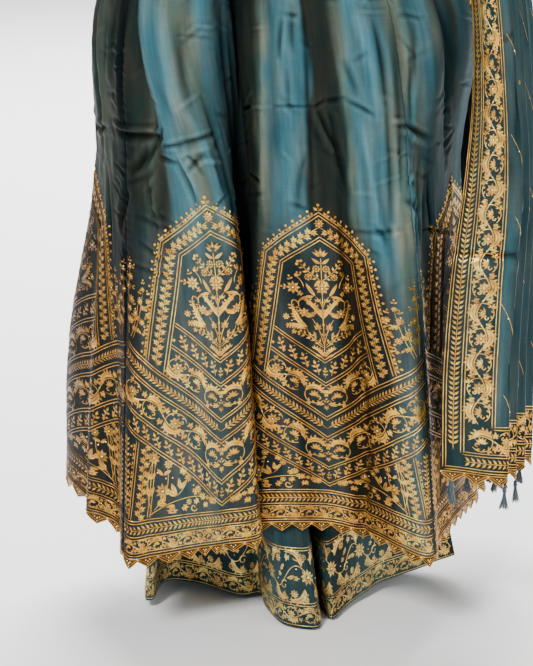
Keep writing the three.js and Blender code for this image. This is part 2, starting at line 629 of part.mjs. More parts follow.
const veilAt = (along, column) => through(VEIL_STATIONS, 'along', column, along);

// The veil: `across` in mm from its leading edge, `along` in mm from its front end.
function veil(across, along) {
  const layer = PLEAT_START + across / (VEIL_WIDE / PLEATS);
  const swing = Math.asin(PLEAT_TURN * Math.sin(Math.PI * (layer - 0.5)));
  const even = 0.5 + 0.5 * (swing / Math.asin(PLEAT_TURN));
  const reach = layer > 1 ? mix(veilAt(along, 'tuck'), 1, even) : even;
  const back = veilAt(along, 'fold') * Math.max(1 - across / BORDER_TURN, 0) ** 2;
  const sideways = reach * veilAt(along, 'span') + (veilAt(along, 'step') * layer + back) / 2;
  const here = { y: veilAt(along, 'y'), z: veilAt(along, 'z') };
  const dy = veilAt(along + 1, 'y') - veilAt(along - 1, 'y');
  const dz = veilAt(along + 1, 'z') - veilAt(along - 1, 'z');
  const depth = layer + (PLEAT_STEP * Math.sin(2 * Math.PI * layer)) / (2 * Math.PI);
  const inward = (veilAt(along, 'deep') * depth + back) / Math.hypot(dy, dz);
  return new THREE.Vector3(
    veilAt(along, 'lead') + sideways,
    here.y + dz * inward,
    here.z - dy * inward + veilAt(along, 'tilt') * sideways,
  );
}
const veilSeams = [0, VEIL_STATIONS[FRONT_STATION].along, VEIL_STATIONS[BACK_STATION].along];
const VEIL_STRETCHES = [
  { name: 'dupatta_front_fall', from: veilSeams[0], to: veilSeams[1], down: 6 },
  { name: 'dupatta_shoulder', from: veilSeams[1], to: veilSeams[2], down: 6 },
  { name: 'dupatta_back_fall', from: veilSeams[2], to: VEIL_LONG, down: 4 },
];
for (const { name, from, to, down } of VEIL_STRETCHES) {
  add(name, cloth(veil, {
    u0: 0, u1: VEIL_WIDE, v0: from + SEAM_GAP / 2, v1: to - SEAM_GAP / 2,
    across: PLEAT_FACETS * PLEATS, down, wall: VEIL,
  }), 'dupatta');
}

// Gilt edging and tassels of the two ends; `way` is 1 where the end is the first station.
const VEIL_TEETH = 30;
const TASSELS = 10;
const TASSEL = { top: 2, bottom: 5.5, long: 34, sides: 6 };
for (const [end, along, way] of [['front', 0, 1], ['back', VEIL_LONG, -1]]) {
  const edgeAt = (from) => faceted(
    (across) => veil(across, along + from * way), VEIL_WIDE / PLEATS / PLEAT_FACETS,
  );
  const edge = edgeAt(0);
  const direction = (across) => edge(across).sub(edgeAt(LACE_LINE)(across)).normalize();
  const toothAt = (across) => pointed((across / VEIL_WIDE) * VEIL_TEETH);
  add(`dupatta_lace_${end}`, cloth(hangingLace(edge, direction, toothAt), {
    u0: 0, u1: VEIL_WIDE, v0: 0, v1: 1, across: 2 * VEIL_TEETH, down: 1, wall: LACE,
  }), 'lace');
  for (let k = 0; k < TASSELS; k += 1) {
    const across = (VEIL_WIDE / VEIL_TEETH) * (0.5 + Math.round((k * (VEIL_TEETH - 1)) / (TASSELS - 1)));
    const hook = edge(across).addScaledVector(direction(across), TOOTH_TIP + 2 * SEAM_GAP);
    const shape = new THREE.CylinderGeometry(TASSEL.top, TASSEL.bottom, TASSEL.long, TASSEL.sides);
    shape.rotateX(Math.PI / 2);
    shape.translate(hook.x, hook.y, hook.z - TASSEL.long / 2);
    add(`tassel_${end}_${k + 1}`, shape, 'tassel');
  }
}

export default suit;
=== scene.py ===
"""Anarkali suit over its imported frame: shot-silk kurta with zari work, palazzo and dupatta.

Sizes are in millimetres until a mesh is made, where they become metres.
"""

import bpy
import numpy as np
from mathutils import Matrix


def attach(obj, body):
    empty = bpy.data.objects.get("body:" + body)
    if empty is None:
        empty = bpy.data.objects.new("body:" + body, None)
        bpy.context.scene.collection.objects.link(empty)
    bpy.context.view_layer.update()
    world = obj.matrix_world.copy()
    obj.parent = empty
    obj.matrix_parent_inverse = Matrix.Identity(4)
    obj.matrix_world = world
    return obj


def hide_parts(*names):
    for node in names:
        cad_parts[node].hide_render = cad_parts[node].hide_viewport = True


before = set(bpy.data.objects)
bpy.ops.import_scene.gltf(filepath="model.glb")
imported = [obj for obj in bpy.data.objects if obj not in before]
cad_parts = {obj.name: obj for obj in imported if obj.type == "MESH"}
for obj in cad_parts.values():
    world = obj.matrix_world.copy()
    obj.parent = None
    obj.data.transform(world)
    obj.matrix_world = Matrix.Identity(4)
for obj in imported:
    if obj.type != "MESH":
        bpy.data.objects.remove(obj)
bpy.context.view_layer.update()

MM = 0.001


# ---------------------------------------------------------------- curves, noise and colour
def slopes(knots, rows):
    """Slope of a table at each row: the mean of the two spans beside it, or the one span's own."""
    wide = np.diff(knots).reshape([-1] + [1] * (rows.ndim - 1))
    rise = np.diff(rows, axis=0) / wide
    slope = np.empty_like(rows)
    slope[1:-1] = (rise[:-1] * wide[1:] + rise[1:] * wide[:-1]) / (wide[:-1] + wide[1:])
    slope[0], slope[-1] = rise[0], rise[-1]
    return slope


def cubic(a, b, slope_a, slope_b, h, t):
    """Cubic from a to b over a span h wide, with a slope at each end; t is the share of the way."""
    return (a * (1 + 2 * t) * (1 - t) ** 2 + slope_a * h * t * (1 - t) ** 2
            + b * (3 - 2 * t) * t ** 2 - slope_b * h * t ** 2 * (1 - t))


def through(knots, values, at, period=0):
    """Smooth curve through a table, cubic in each span. A period joins its ends."""
    k, v, at = np.asarray(knots, float), np.asarray(values, float), np.asarray(at, float)
    if period:
        at = k[0] + np.mod(at - k[0], period)
        k = np.concatenate([k[-2:] - period, k, k[:3] + period])
        v = np.concatenate([v[-2:], v, v[:3]])
    slope = slopes(k, v)
    i = np.clip(np.searchsorted(k, at, side="right") - 1, 0, len(k) - 2)
    t, h = (at - k[i]) / (k[i + 1] - k[i]), k[i + 1] - k[i]
    if v.ndim > 1:
        t, h = t[..., None], h[..., None]
    return cubic(v[i], v[i + 1], slope[i], slope[i + 1], h, t)


def mix(a, b, t):
    """Straight from a to b."""
    return a + (b - a) * t


def unit(vectors):
    """Vectors brought to length 1."""
    return vectors / np.maximum(np.linalg.norm(vectors, axis=-1, keepdims=True), 1e-9)


def smooth(t):
    """0 below 0, 1 above 1, and an S curve between."""
    t = np.clip(t, 0, 1)
    return t * t * (3 - 2 * t)


def bump(t):
    """1 at 0, falling to 0 at 1 and -1."""
    return np.where(np.abs(t) < 1, (1 - t * t) ** 2, 0.0)


def crumple(x, y, cell_x, cell_y, seed):
    """Soft noise from -1 to 1: random values on a lattice of cells, blended with S curves."""
    lattice = np.random.default_rng(seed).uniform(-1, 1, (97, 97))
    a, b = x / cell_x, y / cell_y
    i, j = np.floor(a).astype(int), np.floor(b).astype(int)
    s, t = smooth(a - i), smooth(b - j)
    pick = lambda di, dj: lattice[(i + di) % 97, (j + dj) % 97]
    return mix(mix(pick(0, 0), pick(1, 0), s), mix(pick(0, 1), pick(1, 1), s), t)


def srgb(code):
    """Linear red, green and blue of a hex colour."""
    c = np.array([int(code[i:i + 2], 16) for i in (0, 2, 4)]) / 255
    return np.where(c <= 0.04045, c / 12.92, ((c + 0.055) / 1.055) ** 2.4)


# ---------------------------------------------------------------- materials
def node(material, kind, inputs=(), **settings):
    """Adds one shader node. `inputs` gives its sockets values, or nodes or sockets to link."""
    tree = material.node_tree
    made = tree.nodes.new(kind)
    for name, value in settings.items():
        setattr(made, name, value)
    for name, value in dict(inputs).items():
        if isinstance(value, bpy.types.Node):
            value = value.outputs[0]
        if isinstance(value, bpy.types.NodeSocket):
            tree.links.new(value, made.inputs[name])
        else:
            made.inputs[name].default_value = value
    return made


def new_material(name):
    """Material with an empty node tree."""
    material = bpy.data.materials.new(name)
    material.use_nodes = True
    material.node_tree.nodes.clear()
    return material


def finish_material(material, **surface):
    """Principled surface from socket values or links, on the material's output."""
    shader = node(material, "ShaderNodeBsdfPrincipled",
                  {name.replace("_", " "): value for name, value in surface.items()})
    node(material, "ShaderNodeOutputMaterial", {"Surface": shader})
    return material


def shot_silk(name, rough, tint, slub=0.08):
    """Hand-woven silk, warp of one colour and weft of another, so it shifts from fold to fold: that
    shift is held in the piece's colour attribute as painted light and shade, with painted shadow in
    the valleys and creases. Streaks run along the warp where a thread is thick or its dye lot
    differs, some browner and some bluer, and finer slubs run across. Threads are 0.12 mm apart;
    they are drawn about 2 mm apart, since finer ones would not show."""
    silk = new_material(name)
    tone_and_painted_light = node(silk, "ShaderNodeAttribute", attribute_name="tone_and_painted_light")
    cloth = node(silk, "ShaderNodeUVMap", uv_map="cloth")
    # Each noise has its scale across and up the cloth, per metre, and its detail.
    warp, weft, streak, cloud = (
        node(silk, "ShaderNodeTexNoise", {
            "Vector": node(silk, "ShaderNodeMapping", {"Vector": cloth, "Scale": (across, up, 1)}),
            "Scale": 1.0, "Detail": detail})
        for across, up, detail in ((460, 22, 3.0), (18, 480, 2.0), (75, 7, 5.0), (34, 12, 5.0)))
    threads = node(silk, "ShaderNodeMath", {0: warp, 1: weft}, operation="ADD")
    slubs, streaks, clouds, redder, bluer, gloss = (
        node(silk, "ShaderNodeMapRange", {
            "Value": value, "From Min": low, "From Max": high, "To Min": to_low, "To Max": to_high})
        for value, low, high, to_low, to_high in (
            (threads, 0.6, 1.4, 1 - slub, 1 + slub), (streak, 0.32, 0.68, 0.72, 1.24),
            (cloud, 0.3, 0.7, 0.82, 1.16), (cloud, 0.35, 0.65, 0.78, 1.35),
            (cloud, 0.35, 0.65, 1.07, 0.9), (threads, 0.6, 1.4, rough + 0.06, rough - 0.06)))
    level = node(silk, "ShaderNodeMath", {0: slubs, 1: streaks}, operation="MULTIPLY")
    level = node(silk, "ShaderNodeMath", {0: level, 1: clouds}, operation="MULTIPLY")
    hue = node(silk, "ShaderNodeCombineXYZ", {"X": redder, "Y": 1.0, "Z": bluer})
    turned = node(silk, "ShaderNodeVectorMath", {0: tone_and_painted_light, 1: hue}, operation="MULTIPLY")
    colour = node(silk, "ShaderNodeVectorMath", {0: turned, "Scale": level}, operation="SCALE")
    relief = node(silk, "ShaderNodeBump", {"Height": threads, "Strength": 0.12, "Distance": 0.0006})
    return finish_material(silk, Base_Color=colour, Roughness=gloss, IOR=1.54, Normal=relief,
                           Specular_IOR_Level=0.05, Specular_Tint=(*srgb(tint), 1))


def zari_gold(name, rough):
    """Zari: silver-gilt wire wound on a silk core and couched in satin stitch. The wire is 0.3 mm
    thick and is drawn at 1.1 mm. The piece's colour attribute carries the gilt's tone with painted
    light: a painted highlight on each motif's crest, painted shade along its rim and where the
    cloth under it is painted dark; noises vary it along the wire and add tarnish."""
    gold = new_material(name)
    tone_and_painted_light = node(gold, "ShaderNodeAttribute", attribute_name="tone_and_painted_light")
    place = node(gold, "ShaderNodeTexCoord").outputs["Object"]
    wire = node(gold, "ShaderNodeTexNoise", {"Vector": place, "Scale": 900.0, "Detail": 2.0})
    tarnish = node(gold, "ShaderNodeTexNoise", {"Vector": place, "Scale": 70.0, "Detail": 3.0})
    both = node(gold, "ShaderNodeMath", {0: wire, 1: tarnish}, operation="ADD")
    level = node(gold, "ShaderNodeMapRange", {
        "Value": both, "From Min": 0.7, "From Max": 1.3, "To Min": 0.66, "To Max": 1.35})
    colour = node(gold, "ShaderNodeVectorMath", {0: tone_and_painted_light, "Scale": level}, operation="SCALE")
    relief = node(gold, "ShaderNodeBump", {"Height": wire, "Strength": 0.35, "Distance": 0.0008})
    return finish_material(gold, Base_Color=colour, Roughness=rough, Metallic=0.8, Normal=relief)


def lacquered_gilt(name, colour, rough):
    """Sequins: thin stamped discs, gilt under clear lacquer, bright with tiny scratches that are
    drawn 2 mm apart."""
    metal = new_material(name)
    place = node(metal, "ShaderNodeTexCoord").outputs["Object"]
    scratch = node(metal, "ShaderNodeTexNoise", {"Vector": place, "Scale": 500.0})
    gloss = node(metal, "ShaderNodeMapRange", {
        "Value": scratch, "To Min": rough - 0.08, "To Max": rough + 0.1})
    return finish_material(metal, Base_Color=(*srgb(colour), 1), Roughness=gloss, Metallic=0.6)


def floss(name, colour, pale):
    """Untwisted silk floss: soft strands of one dye lot, some of them nearly undyed, with a faint
    bloom of loose fibres. Strands are 0.2 mm thick and are drawn at 1.1 mm."""
    silk = new_material(name)
    place = node(silk, "ShaderNodeTexCoord").outputs["Object"]
    strand = node(silk, "ShaderNodeMapping", {"Vector": place, "Scale": (900, 900, 30)})
    hair = node(silk, "ShaderNodeTexNoise", {"Vector": strand, "Scale": 1.0, "Detail": 2.0})
    ramp = node(silk, "ShaderNodeMapRange", {"Value": hair, "From Min": 0.55, "From Max": 0.8})
    # The colour sockets of a Mix node come after its number and vector ones.
    tone = node(silk, "ShaderNodeMix", {0: ramp, 6: (*srgb(colour), 1), 7: (*srgb(pale), 1)},
                data_type="RGBA")
    relief = node(silk, "ShaderNodeBump", {"Height": hair, "Strength": 0.5, "Distance": 0.0008})
    return finish_material(silk, Base_Color=tone.outputs[2], Roughness=0.6, Sheen_Weight=0.5,
                           Sheen_Roughness=0.4, IOR=1.54, Normal=relief)


KURTA_SILK = shot_silk("kurta_shot_silk", rough=0.52, tint="8fc0cc")
PALAZZO_SILK = shot_silk("palazzo_silk", rough=0.44, tint="86a5a9")
DUPATTA_SILK = shot_silk("dupatta_silk", rough=0.42, tint="86a5a9")
ZARI = zari_gold("zari_couched_gilt_thread", rough=0.33)
GILT_LACE = zari_gold("gilt_bobbin_lace", rough=0.35)
SEQUIN = lacquered_gilt("sequin_lacquered_gilt", "ffdc94", 0.24)
TASSEL_FLOSS = floss("tassel_silk_floss", "23393f", "7b8f90")


# ---------------------------------------------------------------- meshes
def grid_faces(columns, rows, ring=False):
    """Quads of a grid of points, counted column by column; a ring closes on its first column."""
    i = np.arange(columns if ring else columns - 1)[:, None]
    j = np.arange(rows - 1)[None, :]
    here, there = i * rows + j, ((i + 1) % columns) * rows + j
    return np.stack([here, there, there + 1, here + 1], -1).reshape(-1, 4)


def mesh_piece(name, points, faces, materials, slot, nodes=(), colours=None, places=None,
               kinds=None):
    """Puts arrays into a mesh: points in mm, faces all of one size, a colour and a cloth place per
    point, and which of the materials each face takes."""
    mesh = bpy.data.meshes.new(name)
    corners = faces.shape[1]
    mesh.vertices.add(len(points))
    mesh.vertices.foreach_set("co", (np.asarray(points) * MM).astype(np.float32).ravel())
    mesh.loops.add(faces.size)
    mesh.loops.foreach_set("vertex_index", faces.astype(np.int32).ravel())
    mesh.polygons.add(len(faces))
    mesh.polygons.foreach_set("loop_start", np.arange(0, faces.size, corners, dtype=np.int32))
    mesh.polygons.foreach_set("use_smooth", np.ones(len(faces), bool))
    for material in materials:
        mesh.materials.append(material)
    if kinds is not None:
        mesh.polygons.foreach_set("material_index", np.asarray(kinds, np.int32))
    mesh.update(calc_edges=True)
    if places is not None:
        layer = mesh.uv_layers.new(name="cloth")
        corner_places = np.asarray(places)[faces.ravel()] * MM
        layer.data.foreach_set("uv", corner_places.astype(np.float32).ravel())
    if colours is not None:
        # Point colours: each piece's own tone, with painted light and shade where its colour
        # function paints them.
        layer = mesh.attributes.new("tone_and_painted_light", "FLOAT_COLOR", "POINT")
        rgba = np.concatenate([colours, np.ones((len(points), 1))], 1)
        layer.data.foreach_set("color", rgba.astype(np.float32).ravel())
    mesh.validate()
    piece = bpy.data.objects.new(name, mesh)
    bpy.context.collection.objects.link(piece)
    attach(piece, "root")
    if nodes:
        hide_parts(*nodes)
    return piece


def wall(piece, thick):
    """Gives a cloth its thickness, half to each side."""
    solid = piece.modifiers.new("wall", "SOLIDIFY")
    solid.thickness, solid.offset = thick * MM, 0
    return piece


def normals_of(points, ring=False):
    """Unit normals of a grid: across the columns, then up the rows."""
    if ring:
        closed = np.concatenate([points[-1:], points, points[:1]])
        across = np.gradient(closed, axis=0)[1:-1]
    else:
        across = np.gradient(points, axis=0)
    return unit(np.cross(across, np.gradient(points, axis=1)))


class Cloth:
    """A grid of points on a surface, with what the needlework on it needs: where a place of the
    flat cut lies in the grid, its normal and its colour. Columns run to the right as seen from
    outside and rows run upwards."""

    def __init__(self, surface, columns, rows, relief=None, ring=False):
        self.columns, self.rows = np.asarray(columns, float), np.asarray(rows, float)
        u, v = np.meshgrid(self.columns, self.rows, indexing="ij")
        self.points = surface(u, v)
        self.normals = normals_of(self.points, ring)
        if relief is not None:
            self.points = self.points + self.normals * relief(u, v)[..., None]
            self.normals = normals_of(self.points, ring)
        self.u, self.v, self.ring = u, v, ring
        self.colours = None

    def piece(self, name, material, slot, nodes, thick, flat_x, flat_y):
        faces = grid_faces(*self.u.shape, self.ring)
        places = np.stack([flat_x, flat_y], -1).reshape(-1, 2)
        made = mesh_piece(name, self.points.reshape(-1, 3), faces, [material], slot, nodes,
                          self.colours.reshape(-1, 3), places)
        return wall(made, thick)

    def at(self, u, v, height):
        """Points at grid places u, v, lifted by height along the normal, and the cloth's colour."""
        i = np.interp(u, self.columns, np.arange(len(self.columns)))
        j = np.interp(v, self.rows, np.arange(len(self.rows)))
        a = np.clip(i.astype(int), 0, len(self.columns) - 2)
        b = np.clip(j.astype(int), 0, len(self.rows) - 2)
        s, t = (i - a)[:, None], (j - b)[:, None]
        blend = lambda f: mix(mix(f[a, b], f[a + 1, b], s), mix(f[a, b + 1], f[a + 1, b + 1], s), t)
        return blend(self.points) + unit(blend(self.normals)) * height[:, None], blend(self.colours)


# ---------------------------------------------------------------- needlework motifs
# A motif is (points, faces, kinds): points hold x to the right, y up and z out of the cloth in
# mm; z is 0 at the rim, which sinks into the cloth. Kind 0 is zari and kind 1 is a sequin.
def motif(*parts):
    """Several motifs as one."""
    starts = np.cumsum([0] + [len(p[0]) for p in parts[:-1]])
    return (np.concatenate([p[0] for p in parts]),
            np.concatenate([p[1] + s for p, s in zip(parts, starts)]),
            np.concatenate([p[2] for p in parts]))


def lay(shape, x, y, turn=0.0, size=1.0, flip=1.0):
    """Copies of a motif at places x, y, each turned anticlockwise in degrees, scaled, and mirrored
    where flip is -1. The height stays, and mirrored copies keep their faces outwards."""
    x, y, turn, size, flip = (np.ravel(a) for a in np.broadcast_arrays(x, y, turn, size, flip))
    points, faces, kinds = shape
    c, s = np.cos(np.radians(turn))[:, None], np.sin(np.radians(turn))[:, None]
    px = points[None, :, 0] * (size * flip)[:, None]
    py = points[None, :, 1] * size[:, None]
    z = np.broadcast_to(points[None, :, 2], px.shape)
    made = np.stack([x[:, None] + px * c - py * s, y[:, None] + px * s + py * c, z], -1)
    copies = np.where((flip < 0)[:, None, None], faces[None, :, ::-1], faces[None])
    copies = copies + (np.arange(len(x)) * len(points))[:, None, None]
    return made.reshape(-1, 3), copies.reshape(-1, 3), np.tile(kinds, len(x))


def mirrored(shape):
    """The motif and its mirror image left of the line x = 0."""
    return motif(shape, lay(shape, 0, 0, flip=-1.0))


def outward(points, faces):
    """Faces of a flat motif turned so that each looks out of the cloth."""
    a, b, c = (points[faces[:, k]] for k in range(3))
    up = np.cross(b - a, c - a)[:, 2]
    return np.where((up < 0)[:, None], faces[:, ::-1], faces)


def stitched(points, faces, kind=0):
    points, faces = np.asarray(points, float), np.asarray(faces)
    return points, outward(points, faces), np.full(len(faces), kind)


def steps_of(path):
    """Directions at a path's places: after each one, and half way through its turn."""
    step = unit(np.diff(path, axis=0))
    before, after = np.vstack([step[:1], step]), np.vstack([step, step[-1:]])
    return after, unit(before + after)


def left_of(directions):
    return np.stack([-directions[:, 1], directions[:, 0]], 1)


def lengths(path):
    """How far along a path its places lie."""
    return np.r_[0, np.cumsum(np.linalg.norm(np.diff(path, axis=0), axis=1))]


def polar(radius, angle):
    return radius * np.cos(angle), radius * np.sin(angle)


def cord_faces(steps):
    """Faces of a cord counted along it, with three places across at each step."""
    k = np.arange(steps - 1)[:, None, None] * 3
    return (k + np.array([[0, 1, 4], [0, 4, 3], [1, 2, 5], [1, 5, 4]])).reshape(-1, 3)


def beside(path, away):
    """The path moved `away` to its left, with mitred corners."""
    path = np.asarray(path, float)
    after, middle = steps_of(path)
    stretch = 1 / np.clip(np.sum(middle * after, axis=1), 0.3, 1)
    return path + left_of(middle) * (away * stretch)[:, None]


def dense(path, step=4.0):
    """A path with places added so that no piece of it is longer than `step`."""
    path = np.asarray(path, float)
    long = lengths(path)
    spans = (np.linspace(a, b, max(int(np.ceil((b - a) / step)), 1) + 1)
             for a, b in zip(long, long[1:]))
    at = np.unique(np.concatenate([long, *spans]))
    return np.stack([np.interp(at, long, path[:, k]) for k in (0, 1)], 1)


def along(path, pitch, start=0.0, centred=False):
    """Places and directions, in degrees, every `pitch` along a path."""
    path = np.asarray(path, float)
    long = lengths(path)
    room = long[-1] - 2 * start
    count = max(int(room / pitch), 1)
    if centred:
        at = start + (room - (count - 1) * pitch) / 2 + np.arange(count) * pitch
    else:
        at = start + np.arange(int(room / pitch) + 1) * pitch
    at = np.clip(at, 0, long[-1])
    x, y = (np.interp(at, long, path[:, k]) for k in (0, 1))
    i = np.clip(np.searchsorted(long, at, side="right") - 1, 0, len(path) - 2)
    d = path[i + 1] - path[i]
    return x, y, np.degrees(np.arctan2(d[:, 1], d[:, 0]))


def arc(x0, y0, x1, y1, sag, count=8):
    """A curved path between two places, `sag` to its left at the middle."""
    t = np.linspace(0, 1, count)[:, None]
    a, b = np.array([x0, y0], float), np.array([x1, y1], float)
    d = b - a
    left = np.array([-d[1], d[0]]) / np.linalg.norm(d)
    return a + d * t + left * (4 * sag * t * (1 - t))


def ribbon(path, width, height=0.8):
    """A couched cord along a path: three places across at each step, the middle one raised. The
    cross lines are mitred, so a corner keeps its width, and the ends taper."""
    path = np.asarray(path, float)
    width = np.broadcast_to(np.asarray(width, float), len(path)).copy()
    width[[0, -1]] *= 0.3
    after, middle = steps_of(path)
    stretch = 1 / np.clip(np.sum(middle * after, axis=1), 0.5, 1)
    side = left_of(middle) * (width / 2 * stretch)[:, None]
    n = len(path)
    points = np.zeros((n, 3, 3))
    points[:, 0, :2], points[:, 1, :2], points[:, 2, :2] = path + side, path, path - side
    points[:, 1, 2] = height
    return stitched(points.reshape(-1, 3), cord_faces(n))


def blade(long, wide, bend=0.0, peak=0.45, height=0.95):
    """The smallest petal or leaf, from the origin along x to a point: a four-sided outline, bent
    sideways as the square of the way along, round one raised place."""
    side = bend * long
    x, y = peak * long, side * peak ** 2
    return stitched([[0, 0, 0.1], [x, y + wide / 2, 0], [long, side, 0], [x, y - wide / 2, 0],
                     [x * 0.9, y, height]],
                    [[0, 1, 4], [1, 2, 4], [2, 3, 4], [3, 0, 4]])


def leaf(long, wide, bend=0.0, height=1.05):
    """A larger leaf: two raised halves of satin stitch on either side of a sunken vein, with an
    outline of three places to a side, bent as the square of the way along."""
    x = np.array([0.16, 0.42, 0.74])
    half = np.array([0.58, 1.0, 0.66]) * wide / 2
    y = bend * long * x ** 2
    rows = [np.stack([x * long, y + half * k, np.full(3, z)], 1)
            for k, z in ((1, 0), (0.5, height), (0.04, 0.25), (-0.5, height), (-1, 0))]
    points = np.vstack([[[0, 0, 0.1]], np.stack(rows, 1).reshape(-1, 3),
                        [[long, bend * long, 0.1]]])
    faces = [[0, k, k + 1] for k in range(1, 5)] + [[11 + k, 16, 12 + k] for k in range(4)]
    for k in (1, 2, 3, 4, 6, 7, 8, 9):
        faces += [[k, k + 5, k + 6], [k, k + 6, k + 1]]
    return stitched(points, faces)


def dot(radius, height=1.0, kind=0, sides=6):
    """A low dome: a rim and a crown."""
    rim = np.stack([*polar(radius, np.linspace(0, 2 * np.pi, sides, endpoint=False)),
                    np.zeros(sides)], 1)
    k = np.arange(sides)
    return stitched(np.vstack([rim, [[0, 0, height]]]),
                    np.stack([k, (k + 1) % sides, 0 * k + sides], 1), kind)


def sequin(radius=1.25):
    return dot(radius, 1.7, kind=1)


def star(radius, petals=8):
    """A flower of pointed petals with a second ring between them and a sequin in its heart."""
    near = 0.16 * radius
    outer = np.arange(petals) * 360 / petals + 90
    inner = outer + 180 / petals
    return motif(lay(blade(radius - near, radius * 4.0 / petals, peak=0.5),
                     *polar(near, np.radians(outer)), outer),
                 lay(blade(radius * 0.46, radius * 2.2 / petals, height=1.3),
                     *polar(near, np.radians(inner)), inner),
                 dot(radius * 0.16 + 0.4, 1.5, kind=1, sides=5))


def rosette(radius, petals=8):
    """A flower of round petals, each widest near its end, round a raised button."""
    turns = np.arange(petals) * 360 / petals
    near = 0.25 * radius
    petal = blade(radius - near, radius * 5.2 / petals, peak=0.68)
    return motif(lay(petal, *polar(near, np.radians(turns)), turns), dot(radius * 0.34, 1.4))


def pair(long, wide, bend, x, y, turn, spread):
    """Two small leaves from one place, at `spread` to either side of `turn`."""
    return motif(*(lay(blade(long, wide, way * bend), x, y, turn + way * spread)
                   for way in (1, -1)))


def ivy(long, wide):
    """A leaf of five pointed lobes from the origin along x."""
    return motif(lay(blade(long, wide * 0.46), 0, 0),
                 lay(blade(long * 0.76, wide * 0.40), 0, 0, [36, -36]),
                 lay(blade(long * 0.46, wide * 0.34), 0, 0, [80, -80]))


def tulip(radius):
    """A cup of five pointed petals that opens along x, on a round base."""
    back = -0.3 * radius
    return motif(lay(blade(radius * 1.3, radius * 0.62), back, 0, [0, 27, -27]),
                 pair(radius * 1.15, radius * 0.55, 0.18, back, 0, 0, 52),
                 dot(radius * 0.34, 1.3), lay(sequin(1.0), radius * 0.2, 0))


def trefoil(size=1.0):
    """A bud on a short stalk between two petals, standing on the origin along x."""
    return motif(pair(5.6 * size, 3.6 * size, 0.1, -0.4, 0, 0, 46),
                 ribbon([(0, 0), (4.2 * size, 0)], 1.6), lay(dot(1.75 * size, 1.4), 5.2 * size, 0))


def curl(radius, turns=0.8, width=2.2, start=0.0):
    """A tendril that winds inwards round the origin, thinning to a bead."""
    t = np.linspace(0, 1, int(10 * turns) + 3)
    path = np.stack(polar(radius * (1 - 0.66 * t), np.radians(start) + 2 * np.pi * turns * t), 1)
    return motif(ribbon(path, width * (1.15 - 0.6 * t)), lay(dot(width * 0.6, 1.1), *path[-1]))


def acanthus(path, wide, lobes=5, side=1):
    """A long curling leaf: two raised halves beside a sunken vein, swelling and thinning along the
    path, with pointed lobes that lean forwards on its outer side and smaller ones on the other."""
    path = np.asarray(path, float)
    n = len(path)
    t = np.linspace(0, 1, n)
    half = wide / 2 * (0.22 + 0.78 * np.sin(np.pi * t ** 0.75))
    half[-1] = 0.2
    _, middle = steps_of(path)
    normal = left_of(middle)
    points = np.zeros((n, 5, 3))
    for k, (out, z) in enumerate(((1, 0), (0.5, 1.15), (0, 0.35), (-0.5, 1.15), (-1, 0))):
        points[:, k, :2], points[:, k, 2] = path + normal * (half * out)[:, None], z
    corner = np.arange(n - 1)[:, None, None, None] * 5 + np.arange(4)[:, None, None]
    faces = (corner + np.array([[0, 5, 6], [0, 6, 1]])).reshape(-1, 3)
    d = np.degrees(np.arctan2(middle[:, 1], middle[:, 0]))
    k = np.unique(np.linspace(1, n - 2, lobes).round().astype(int))
    root = normal[k] * (half[k] * 0.4 * side)[:, None]
    return motif(stitched(points.reshape(-1, 3), faces),
                 lay(blade(wide * 0.85, wide * 0.5, 0.2 * side), *(path[k] + root).T,
                     d[k] + 48 * side),
                 lay(blade(wide * 0.5, wide * 0.34, -0.2 * side), *(path[k] - root).T,
                     d[k] - 30 * side))


# Width of a couched line, and how far each of a pair lies from the middle.
STRAND, PAIR = 1.5, 2.0


def double_line(path):
    """Two couched lines side by side."""
    return motif(*(ribbon(dense(beside(path, a), 5.0), STRAND, 1.0) for a in (-PAIR, PAIR)))


def wheat_ear(path, pitch, long, wide, spread):
    """Leaf pairs that open forwards along a stem."""
    x, y, d = along(path, pitch, start=pitch * 0.4, centred=True)
    return motif(pair(long, wide, 0.1, x, y, d, spread), ribbon(dense(path, 6.0), 1.1))


def ivy_pairs(path, pitch, long, wide, spread):
    """Lobed leaves by turns on either side of a thin stem, pointing forwards, with a sequin in
    every third."""
    parts = [ribbon(dense(path, 6.0), 1.2)]
    for side, first in ((1, 0.2), (-1, 0.7)):
        x, y, d = along(path, pitch, start=pitch * first)
        aside = polar(0.9, np.radians(d + 90 * side))
        ahead = polar(long * 0.4, np.radians(d + spread * side))
        x, y = x + aside[0], y + aside[1]
        parts += [lay(ivy(long, wide), x, y, d + spread * side),
                  lay(sequin(), (x + ahead[0])[1::3], (y + ahead[1])[1::3])]
    return motif(*parts)


def florets(path, pitch, size=1.0):
    """Trefoils that stand to the left of a line, with sequins on some of the buds."""
    x, y, d = along(path, pitch, start=pitch * 0.3, centred=True)
    out = polar(5.4 * size, np.radians(d[::2] + 90))
    return motif(lay(trefoil(size), x, y, d + 90), lay(sequin(), x[::2] + out[0], y[::2] + out[1]))


def sprig():
    """A small plant along x: a stem with two pairs of leaves and a last leaf at its end."""
    leaves = (lay(blade(long, wide, -0.1 * way), x, near * way, -turn * way)
              for long, wide, x, near, turn in ((6.6, 3.7, -5.5, 0.5, 52), (7.0, 4.0, 0, 0.6, 50))
              for way in (1, -1))
    return motif(ribbon(arc(-9, 0, 3, 0, 0.8, 4), 1.1), *leaves, lay(blade(8.0, 4.2), 2.5, 0))


def twig(path, pitch, long, wide, buds=2.6):
    """A thin stem with leaves in pairs and three round buds at its tip."""
    x, y, d = along(path, pitch, start=pitch * 0.8)
    dx, dy = polar(buds * 1.5, np.radians(d[-1] + np.array([0, 55, -55])))
    return motif(ribbon(path, 1.2), pair(long, wide, 0.15, x, y, d, 42),
                 lay(dot(buds, 1.4), path[-1, 0] + dx, path[-1, 1] + dy))


